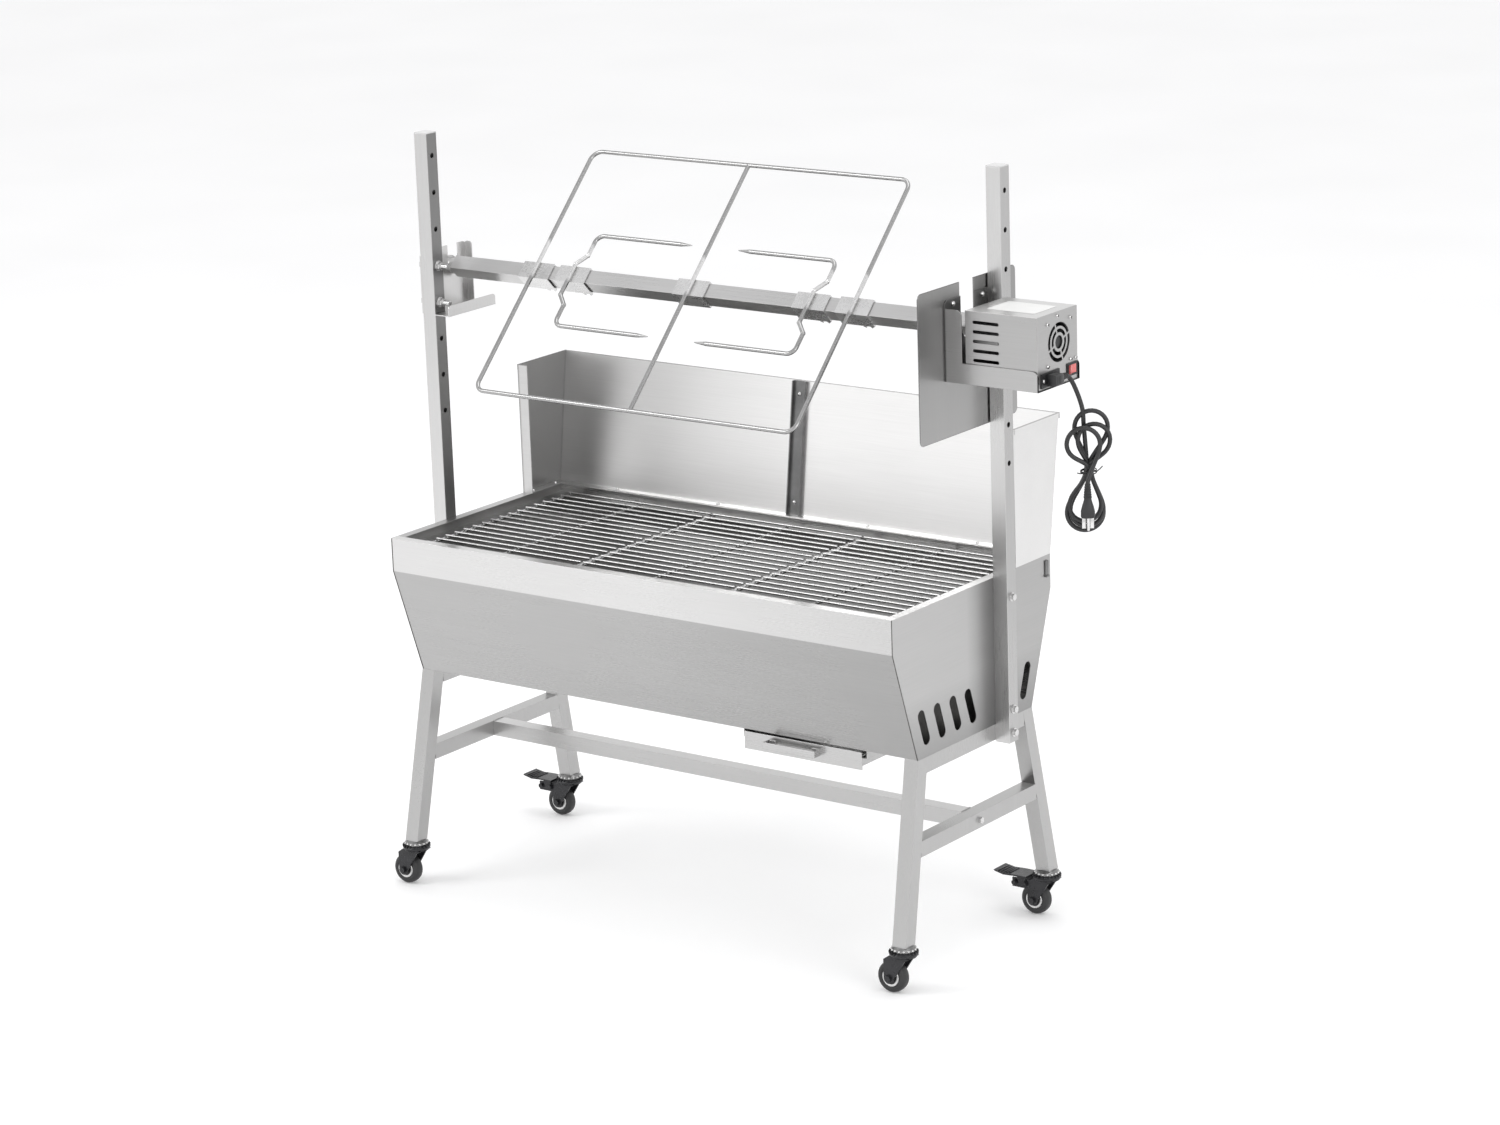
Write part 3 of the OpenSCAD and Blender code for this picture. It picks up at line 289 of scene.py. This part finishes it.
CAST = dull("cast_housing", (0.10, 0.10, 0.105), (0.16, 0.16, 0.165), (0.5, 0.7), 300, 0.4, 0.5, 0.0003)
LABEL = dull("blank_label", (0.66, 0.66, 0.65), (0.71, 0.71, 0.70), (0.35, 0.5), 500, 0.0, 0.05)
ROCKER = dull("rocker_red", (0.55, 0.10, 0.10), (0.68, 0.17, 0.16), (0.12, 0.22), 120, 0.0, 0.04)
ROCKER.node_tree.nodes["Principled BSDF"].inputs["Coat Weight"].default_value = 0.4
BRASS = polished("pin_metal", 0.62, 0.75, 0.18)
RING = polished("caster_ring", 0.62, 0.74, 0.3)

LOOKS = {
    LEGS: ["left_leg_frame", "right_leg_frame"],
    BARS: ["stretcher"],
    POST_LEFT: ["left_post"],
    POST_RIGHT: ["right_post"],
    BRACKET: ["left_bracket"],
    CARRIER: ["motor_bracket"],
    CASE: ["motor_case"],
    BAR: ["spit_bar"],
    STEEL_Y: ["motor_end_plate", "grate_ledges"],
    TROUGH: ["trough_shell"],
    PANEL_LEFT: ["left_end_panel"],
    PANEL_RIGHT: ["right_end_panel"],
    SCREEN_LEFT: ["windscreen_left"],
    SCREEN_RIGHT: ["windscreen_right"],
    TRAY: ["drawer_runners", "ash_drawer", "drawer_handle"],
    SHIELD: ["heat_shield"],
    WIRE: ["grate_left", "grate_middle", "grate_right"],
    RACK_WIRE: ["roast_rack", "fork_left", "fork_right"],
    ZINC: ["frame_bolts", "bracket_bolts", "sheet_screws", "case_screws", "rack_screw_left",
           "rack_screw_right", "fork_screw_left", "fork_screw_right"],
    RACE: ["caster_stems"],
    SOOT_AND_SHADE: ["charcoal_grate"],
    SEAM: ["windscreen_seam"],
    CAP: ["post_caps"],
    PLASTIC: ["fan_frame", "fan_rotor", "switch_bezel", "power_inlet"],
    ROCKER: ["switch_rocker"],
    CAST: ["gear_motor", "drive_socket"],
    STAMPED: ["caster_fork_fl", "caster_fork_fr", "caster_fork_rl", "caster_fork_rr", "brake_pedal_rl",
              "brake_pedal_rr"],
    TYRE: ["caster_wheel_fl", "caster_wheel_fr", "caster_wheel_rl", "caster_wheel_rr"],
    RUBBER: ["cord_connector", "cord_lead", "cord_hank", "cord_plug"],
}
for look, names in LOOKS.items():
    for n in names:
        nodes[n].data.materials.clear()
        nodes[n].data.materials.append(look)


# ---------- mesh helpers, in millimetres ----------

def place(name, bm, body, mats, smooth=True):
    for v in bm.verts:
        v.co *= MM
    bmesh.ops.recalc_face_normals(bm, faces=bm.faces)
    mesh = bpy.data.meshes.new(name)
    bm.to_mesh(mesh)
    bm.free()
    obj = bpy.data.objects.new(name, mesh)
    bpy.context.scene.collection.objects.link(obj)
    for m in mats if isinstance(mats, list) else [mats]:
        mesh.materials.append(m)
    if smooth:
        for p in mesh.polygons:
            p.use_smooth = True
        mesh.set_sharp_from_angle(angle=math.radians(38))
    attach(obj, body)
    return obj


def frame_of(origin, axis, side=None):
    """A matrix that takes +Z to axis and puts the origin there."""
    w = Vector(axis).normalized()
    u = Vector(side) if side else (Vector((0, 0, 1)) if abs(w.z) < 0.9 else Vector((1, 0, 0)))
    u = (u - w * u.dot(w)).normalized()
    v = w.cross(u)
    m = Matrix((u, v, w)).transposed().to_4x4()
    return Matrix.Translation(origin) @ m


def lathe(bm, profile, m, n=40, mat=0, closed=True):
    """Turns (radius, height) pairs about the local Z of m."""
    rings = []
    for r, h in profile:
        rings.append([bm.verts.new(m @ Vector((r * math.cos(2 * math.pi * i / n),
                                               r * math.sin(2 * math.pi * i / n), h))) for i in range(n)])
    count = len(rings) if closed else len(rings) - 1
    for k in range(count):
        a, b = rings[k], rings[(k + 1) % len(rings)]
        which = mat(k) if callable(mat) else mat
        for i in range(n):
            f = bm.faces.new((a[i], a[(i + 1) % n], b[(i + 1) % n], b[i]))
            f.material_index = which


def block(bm, low, high, m=None, mat=0, bevel=0.0):
    """A box between two corners, moved by m."""
    m = m or Matrix.Identity(4)
    made = bmesh.ops.create_cube(bm, size=1.0)["verts"]
    size = [high[i] - low[i] for i in range(3)]
    mid = Vector([(high[i] + low[i]) / 2 for i in range(3)])
    for v in made:
        v.co = m @ (Vector((v.co.x * size[0], v.co.y * size[1], v.co.z * size[2])) + mid)
    faces = list({f for v in made for f in v.link_faces})
    for f in faces:
        f.material_index = mat
    if bevel:
        edges = list({e for v in made for e in v.link_edges})
        bmesh.ops.bevel(bm, geom=edges, offset=bevel, segments=2, profile=0.5, affect="EDGES")


def plate(bm, outline, thick, m, mat=0):
    """A closed outline in the local XY plane, thick along the local Z."""
    low = [bm.verts.new(m @ Vector((x, y, 0))) for x, y in outline]
    high = [bm.verts.new(m @ Vector((x, y, thick))) for x, y in outline]
    n = len(outline)
    for f in (bm.faces.new(low[::-1]), bm.faces.new(high)):
        f.material_index = mat
    for i in range(n):
        f = bm.faces.new((low[i], low[(i + 1) % n], high[(i + 1) % n], high[i]))
        f.material_index = mat


def rounded(w, h, r, n=6):
    """Outline of a rectangle with rounded corners."""
    pts = []
    for cx, cy, a in ((w / 2 - r, h / 2 - r, 0), (-w / 2 + r, h / 2 - r, 90), (-w / 2 + r, -h / 2 + r, 180),
                      (w / 2 - r, -h / 2 + r, 270)):
        for i in range(n + 1):
            t = math.radians(a + 90 * i / n)
            pts.append((cx + r * math.cos(t), cy + r * math.sin(t)))
    return pts


def loft(bm, rings):
    """A closed skin over rings of points, capped at both ends."""
    rings = [[bm.verts.new(p) for p in ring] for ring in rings]
    for a, b in zip(rings, rings[1:]):
        for i in range(len(a)):
            bm.faces.new((a[i], a[(i + 1) % len(a)], b[(i + 1) % len(a)], b[i]))
    bm.faces.new(rings[0][::-1])
    bm.faces.new(rings[-1])


def sweep(bm, path, radius, n=8):
    """A round rod along a path."""
    rings = []
    for i, p in enumerate(path):
        t = (path[min(i + 1, len(path) - 1)] - path[max(i - 1, 0)]).normalized()
        u = t.cross(Vector((0.3, 0.2, 0.93))).normalized()
        w = t.cross(u)
        rings.append([p + radius * (math.cos(2 * math.pi * j / n) * u + math.sin(2 * math.pi * j / n) * w)
                      for j in range(n)])
    loft(bm, rings)


# ---------- mains lead ----------

CASE_END = 652            # the outer face of the motor case's end plate, mm
INLET_Z = 941

LEAD = [(660, 3, 941), (660.2, 8, 939), (661.2, 13, 934), (663, 17, 926.5), (665.5, 20, 917.5),
        (668.5, 22.2, 907.5), (671.5, 23.6, 897.5), (674.5, 24.4, 887)]
HANK_AT = Vector((683, 25, 793))
HANK_TURN = math.radians(37)
PLUG_AT = Vector((694, 4, 744))
ACROSS = Vector((math.cos(HANK_TURN), math.sin(HANK_TURN), 0))
FRONT = Vector((math.sin(HANK_TURN), -math.cos(HANK_TURN), 0))


def in_hank(h, d, z):
    """A point of the hank: h across it, d towards its front, z up from its middle."""
    return HANK_AT + ACROSS * h + FRONT * d + Vector((0, 0, z))


def loop(radius, reach, shift, sign, d0, d1):
    """Knots of one round loop, left side to right side; sign is +1 above the tie and -1 below it."""
    centre = (shift, sign * (reach - radius))
    aim = math.atan2(centre[1], centre[0])
    spread = math.pi / 2 + math.asin(radius / math.hypot(*centre))
    knots = []
    for i in range(10):
        a = aim + sign * spread * (1 - 2 * i / 9)
        knots.append((centre[0] + radius * math.cos(a), d0 + (d1 - d0) * i / 9,
                      centre[1] + radius * math.sin(a)))
    return knots


def hank_route():
    """Down through the tie, round three loops below it and three above in turn, and forward to the plug."""
    below = [(28, 93, -5), (26, 86, -3), (25, 77, -6)]
    above = [(26, 93, 5), (25.5, 74, 8.5), (25.5, 69, -8)]
    depth = -8.4
    k = [(-2.0, depth, 10), (-4.0, depth, -8)]
    for i in range(3):
        k += loop(*below[i], -1, depth, depth + 2.8)
        k += [(4.5, depth + 2.8, -8), (1.5, depth + 2.8, 8)]
        k += loop(*above[i], 1, depth + 2.8, depth + 5.6 if i < 2 else 11)
        depth += 5.6
        if i < 2:
            k += [(-1.5, depth, 8), (-4.5, depth, -8)]
    return k + [(4, 16, 8), (-2, 21, -5)]


def smooth_path(points, step):
    """Points along a smooth curve through the knots, about a step apart."""
    p = [2 * points[0] - points[1]] + points + [2 * points[-1] - points[-2]]
    out = []
    for i in range(1, len(p) - 2):
        n = max(2, int((p[i + 1] - p[i]).length / step))
        t0 = 0.0
        t1 = t0 + (p[i] - p[i - 1]).length ** 0.5
        t2 = t1 + (p[i + 1] - p[i]).length ** 0.5
        t3 = t2 + (p[i + 2] - p[i + 1]).length ** 0.5
        for j in range(n):
            t = t1 + (t2 - t1) * j / n
            a1 = p[i - 1] * ((t1 - t) / (t1 - t0)) + p[i] * ((t - t0) / (t1 - t0))
            a2 = p[i] * ((t2 - t) / (t2 - t1)) + p[i + 1] * ((t - t1) / (t2 - t1))
            a3 = p[i + 1] * ((t3 - t) / (t3 - t2)) + p[i + 2] * ((t - t2) / (t3 - t2))
            b1 = a1 * ((t2 - t) / (t2 - t0)) + a2 * ((t - t0) / (t2 - t0))
            b2 = a2 * ((t3 - t) / (t3 - t1)) + a3 * ((t - t1) / (t3 - t1))
            out.append(b1 * ((t2 - t) / (t2 - t1)) + b2 * ((t - t1) / (t2 - t1)))
    out.append(points[-1])
    return out


def relaxed(points, rounds):
    """The path with its small kinks averaged out."""
    for _ in range(rounds):
        points = [points[0]] + [(points[i - 1] + 2 * points[i] + points[i + 1]) / 4
                                for i in range(1, len(points) - 1)] + [points[-1]]
    return points


def make_cord():
    """The lead from the connector, the tied hank and the run to the plug, as one curve."""
    knots = [Vector(p) for p in LEAD]
    knots += [in_hank(-6, -6.2, 70), in_hank(-4, -7.6, 45)]
    knots += [in_hank(*p) for p in hank_route()]
    knots += [PLUG_AT + Vector((0, 0, 37)), PLUG_AT + Vector((0, 0, 34))]
    points = relaxed(smooth_path(knots, 4.0), 5)
    data = bpy.data.curves.new("mains_cord", "CURVE")
    data.dimensions = "3D"
    data.bevel_depth = 3.5 * MM
    data.bevel_resolution = 4
    data.use_fill_caps = True
    spline = data.splines.new("POLY")
    spline.points.add(len(points) - 1)
    for q, p in zip(spline.points, points):
        q.co = (*(p * MM), 1)
    cord = bpy.data.objects.new("mains_cord", data)
    bpy.context.scene.collection.objects.link(cord)
    data.materials.append(RUBBER)
    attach(cord, "stand")
    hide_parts("cord_lead", "cord_hank")
    length = sum((b - a).length for a, b in zip(points, points[1:])) * MM
    return cord, round(length, 2)


def make_plug():
    """A moulded plug with a ribbed strain relief, two flat blades and a round earth pin."""
    m = Matrix.Translation(PLUG_AT) @ Matrix.Rotation(HANK_TURN, 4, "Z")
    bm = bmesh.new()
    # body: rounded sections from the face with the pins up to the strain relief
    sections = [(-16, 15, 19), (-15, 17.5, 21), (-6, 17.5, 21), (2, 15, 17), (9, 11.5, 12.5), (14, 10, 10.5)]
    loft(bm, [[m @ Vector((x, y, z)) for x, y in rounded(d, w, min(w, d) * 0.42, 5)] for z, w, d in sections])
    relief = []
    for i in range(6):
        z, r = 14 + i * 3.8, 6.2 - i * 0.33
        relief += [(r, z), (r, z + 2.2), (r - 1.1, z + 2.5), (r - 1.1, z + 3.6)]
    lathe(bm, [(3.0, 14)] + relief + [(3.2, 37)], m, 24)
    for x in (-6, 6):
        block(bm, (x - 3.1, -0.8, -33), (x + 3.1, 0.8, -15.5), m, 1, 0.35)
    lathe(bm, [(0.2, -35.5), (1.6, -35), (2.3, -33), (2.3, -15.5), (0.2, -15.5)],
          m @ Matrix.Translation((0, -5.5, 0)), 20, 1)
    plug = place("mains_plug", bm, "stand", [PLASTIC, BRASS])
    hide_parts("cord_plug")
    return plug


def make_connector():
    """Angled appliance connector, with a ribbed strain relief along the end plate."""
    bm = bmesh.new()
    sections = [(-40, 15, 14), (-39, 17, 17.6), (-24, 17, 17.6), (-16, 15.5, 15.6), (-10.5, 12.5, 12)]
    loft(bm, [[Vector((CASE_END + w / 2 + px + (17 - w) * 0.1, y, INLET_Z + pz))
               for px, pz in rounded(w, h, 3.4, 5)] for y, w, h in sections])
    relief = []
    for i in range(4):
        y, r = -10.5 + i * 3.2, 5.6 - i * 0.3
        relief += [(r, y), (r, y + 1.9), (r - 0.9, y + 2.2), (r - 0.9, y + 3.0)]
    lathe(bm, [(2.0, -10.5)] + relief + [(3.4, 2.9)], frame_of((660, 0, INLET_Z), (0, 1, 0)), 24)
    for y in (-34, -30, -26):
        block(bm, (668.6, y - 1, INLET_Z - 6), (669.3, y + 1, INLET_Z + 6), bevel=0.2)
    piece = place("appliance_connector", bm, "stand", PLASTIC)
    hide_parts("cord_connector")
    return piece


def make_tie():
    """A twisted wire tie round the middle of the hank, with two short tails."""
    bm = bmesh.new()
    m = Matrix.Translation(HANK_AT) @ Matrix.Rotation(HANK_TURN, 4, "Z")
    for turn, lift in ((0, -1.2), (1, 1.4)):
        path = []
        for i in range(33):
            a = 2 * math.pi * i / 32
            path.append(m @ Vector((11.8 * math.cos(a), 11.2 * math.sin(a), lift + 1.2 * math.sin(a + turn))))
        sweep(bm, path, 0.9)
    for tail in (((9, -8, 1), (12, -11, 2.5), (16, -11.5, 6), (20, -11, 10)),
                 ((-9, -8, -1), (-12, -10.5, -1), (-15, -11, -0.5), (-18, -11, 0.5))):
        sweep(bm, [m @ Vector(p) for p in tail], 0.9)
    return place("cord_tie", bm, "stand", PLASTIC)


cord, cord_length = make_cord()
plug = make_plug()
connector = make_connector()
tie = make_tie()


# ---------- casters ----------

LEG_X, LEG_Y = 485.5, 203.5
CASTERS = {"fl": (-LEG_X, -LEG_Y), "fr": (LEG_X, -LEG_Y), "rl": (-LEG_X, LEG_Y), "rr": (LEG_X, LEG_Y)}
WHEEL_TRAIL, WHEEL_RADIUS = 20, 25


def make_wheel(key, x, y):
    """Tyre with a rounded tread, a bright ring and a dished hub on each side."""
    bm = bmesh.new()
    m = frame_of((x - WHEEL_TRAIL, y, WHEEL_RADIUS), (0, 1, 0))
    half = [(3.1, 11), (5.6, 11), (6, 10.6), (6, 8.8), (10.6, 8.2), (11.2, 9.2), (14.2, 9.4), (15, 8.4),
            (16.2, 9.3), (18, 9.9), (20.4, 9.7), (22.6, 8.6), (24.1, 6.6), (24.8, 3.8), (WHEEL_RADIUS, 1.2)]
    profile = half + [(r, -h) for r, h in half[::-1]]
    last = len(profile) - 2

    def which(k):
        """Hub, ring or tyre, for a strip of the profile; both sides alike, and the bore is hub."""
        k = min(k, last - k) if k <= last else 0
        if 4 <= k <= 6:
            return 1
        return 2 if k < 4 else 0
    lathe(bm, profile, m, 56, which)
    wheel = place("wheel_" + key, bm, "wheel " + key, [TYRE, RING, PLASTIC])
    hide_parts("caster_wheel_" + key)


def make_race(key, x, y):
    """Toothed race cup over the fork, and the bright balls that show between it and the stem."""
    bm = bmesh.new()
    m = Matrix.Translation((x, y, 0))
    cup = [(14, 61), (19.5, 61.6), (22.4, 64), (22.8, 66.8), (21.6, 68.6), (20.5, 69.4), (20.2, 61.8)]
    lathe(bm, cup, m, 48)
    for i in range(22):
        a = 2 * math.pi * i / 22
        t = m @ Matrix.Rotation(a, 4, "Z") @ Matrix.Translation((21.6, 0, 69.0))
        block(bm, (-1.3, -1.4, -1.2), (1.3, 1.4, 1.3), t, 0, 0.4)
    place("race_cup_" + key, bm, "caster " + key, STAMPED)
    bm = bmesh.new()
    for i in range(16):
        a = 2 * math.pi * (i + 0.5) / 16
        ball = bmesh.ops.create_icosphere(bm, subdivisions=2, radius=2.1)["verts"]
        for v in ball:
            v.co += Vector((x + 18.7 * math.cos(a), y + 18.7 * math.sin(a), 73.4))
    place("race_balls_" + key, bm, "stand", ZINC)


for key, (x, y) in CASTERS.items():
    make_wheel(key, x, y)
    make_race(key, x, y)


def make_pedal_pads():
    """Raised ribs on each brake pedal."""
    for key in ("rl", "rr"):
        x, y = CASTERS[key]
        bm = bmesh.new()
        for i in range(5):
            px = x - 62 - i * 5
            # the pedal's top is lowest at the third rib and rises to its tip
            z = 62.7 + (0.27 * (2 - i) if i < 2 else 0.83 * (i - 2))
            block(bm, (px - 1.1, y - 15, z), (px + 1.1, y + 15, z + 1.6), bevel=0.4)
        place("pedal_ribs_" + key, bm, "brake pedal " + key, STAMPED)


make_pedal_pads()


# ---------- small details on the case and the firebox ----------

CASE_TOP = 1037.6
FAN_Z = 991

def cross_recess(bm, origin, axis, size):
    """Dark cross-shaped recess on a screw head, drawn as dark boxes of painted shade where the recess is
    shaded.
    """
    m = frame_of(origin, axis)
    for a in (20, 110):
        t = m @ Matrix.Rotation(math.radians(a), 4, "Z")
        block(bm, (-size, -size * 0.24, -0.5), (size, size * 0.24, 0.06), t)


def make_recesses():
    """Recesses in the fan's, the case's, the inlet's and the windscreen's screws."""
    bm = bmesh.new()
    for y in (-31.5, 31.5):
        for z in (-31.5, 31.5):
            cross_recess(bm, (CASE_END + 0.7, y, FAN_Z + z), (1, 0, 0), 2.2)
    for y, z in ((-4.5, 1031.5), (45.5, 959)):
        cross_recess(bm, (CASE_END + 0.45, y, z), (1, 0, 0), 1.9)
    cross_recess(bm, (CASE_END + 2.45, -47, INLET_Z), (1, 0, 0), 1.9)
    for x in (-360, -150, 150, 360):
        cross_recess(bm, (x, 211, 598.95), (0, 0, 1), 1.7)
    # the dark boxes are painted shade inside the screw recesses
    place("screw_recesses", bm, "stand", SOOT_AND_SHADE, False)


def make_label():
    """Blank pale label on the top of the motor case."""
    bm = bmesh.new()
    plate(bm, rounded(84, 62, 3), 0.25, Matrix.Translation((588, -4, CASE_TOP)))
    place("rating_label", bm, "stand", LABEL, False)


def make_clip():
    """Small dark spring clip under the rim at the rear right corner."""
    bm = bmesh.new()
    plate(bm, rounded(26, 9, 2), 1.6, frame_of((490.2, 207, 574), (1, 0, 0), (0, 0, 1)))
    block(bm, (490.2, 202.8, 560), (494, 211.2, 563), bevel=0.6)
    place("rim_clip", bm, "stand", SEAM)


def make_seams():
    """Dark folded gaps where the end panels meet the trough and its rim, drawn as dark strips of painted
    shade.
    """
    bm = bmesh.new()
    for s in (-1, 1):
        x = s * 488.5
        line = [(-219.25, 594.5), (-219.25, 540), (-159.3, 359.75)]
        for mirror in (1, -1):
            for (y0, z0), (y1, z1) in zip(line, line[1:]):
                a = Vector((x, mirror * y0, z0))
                b = Vector((x, mirror * y1, z1))
                m = frame_of(a, b - a, (1, 0, 0))
                block(bm, (-0.45, -0.3, 0), (0.45, 0.3, (b - a).length), m)
    # the dark strips are painted shade in the fold gaps
    place("panel_seams", bm, "stand", SOOT_AND_SHADE, False)


def make_welds():
    """Ground weld beads where the crossbars meet the legs and the stretcher meets the crossbars."""
    bar_top = 233
    bm = bmesh.new()
    for s in (-1, 1):
        for t in (-1, 1):
            bead = ((-12.5, 0, 0), (-4, 0.4, 0.2), (4, -0.3, 0.1), (12.5, 0, 0))
            sweep(bm, [Vector((s * 481 + x, t * 162.8 + y, bar_top + z)) for x, y, z in bead], 1.3)
        sweep(bm, [Vector((s * 468, -12.2, bar_top)), Vector((s * 468.2, 0, bar_top + 0.3)),
                   Vector((s * 468, 12.2, bar_top))], 1.2)
    place("weld_beads", bm, "stand", LEGS)


make_recesses()
make_label()
make_clip()
make_seams()
make_welds()


# ---------- floor, world and lights ----------

def make_stage():
    """The pale floor and a world that is brightest at the horizon."""
    bm = bmesh.new()
    bmesh.ops.create_grid(bm, x_segments=2, y_segments=2, size=14)
    mesh = bpy.data.meshes.new("floor")
    bm.to_mesh(mesh)
    bm.free()
    floor = bpy.data.objects.new("floor", mesh)
    bpy.context.scene.collection.objects.link(floor)
    floor.location.z = -0.0005
    t = Nodes("floor_paint")
    t.link(t.mix(t.span(t.noise(1.5, 2), 0, 1), (0.90, 0.90, 0.90), (0.93, 0.93, 0.93)),
           t.shader.inputs["Base Color"])
    t.set(Roughness=0.9)
    t.set(Emission_Color=(1, 1, 1, 1), Emission_Strength=0.12)
    mesh.materials.append(t.mat)
    world = bpy.data.worlds.new("studio")
    bpy.context.scene.world = world
    world.use_nodes = True
    nt = world.node_tree
    coord = nt.nodes.new("ShaderNodeTexCoord")
    split = nt.nodes.new("ShaderNodeSeparateXYZ")
    ramp = nt.nodes.new("ShaderNodeValToRGB")
    nt.links.new(coord.outputs["Generated"], split.inputs[0])
    nt.links.new(split.outputs["Z"], ramp.inputs["Fac"])
    e = ramp.color_ramp.elements
    e[0].position, e[0].color = 0.0, (1.0, 1.0, 1.0, 1)
    e[1].position, e[1].color = 1.0, (0.62, 0.62, 0.63, 1)
    mid = e.new(0.25)
    mid.color = (0.95, 0.95, 0.95, 1)
    back = nt.nodes["Background"]
    nt.links.new(ramp.outputs["Color"], back.inputs["Color"])
    back.inputs["Strength"].default_value = 1.15


def area(name, place_at, aim, size, power):
    """A rectangular lamp turned towards a point."""
    data = bpy.data.lights.new(name, "AREA")
    data.shape = "RECTANGLE"
    data.size, data.size_y = size
    data.energy = power
    lamp = bpy.data.objects.new(name, data)
    bpy.context.scene.collection.objects.link(lamp)
    lamp.location = place_at
    lamp.rotation_euler = (Vector(aim) - Vector(place_at)).to_track_quat("-Z", "Y").to_euler()


make_stage()
area("key", (-2.5, -3.0, 3.6), (0, 0, 0.7), (2.2, 1.6), 60)
area("fill", (3.6, -1.2, 2.2), (0, 0, 0.7), (1.6, 2.0), 30)
area("top", (0.2, 0.6, 4.2), (0, 0, 0.6), (3.0, 2.0), 40)
bpy.context.scene.view_settings.view_transform = "Standard"
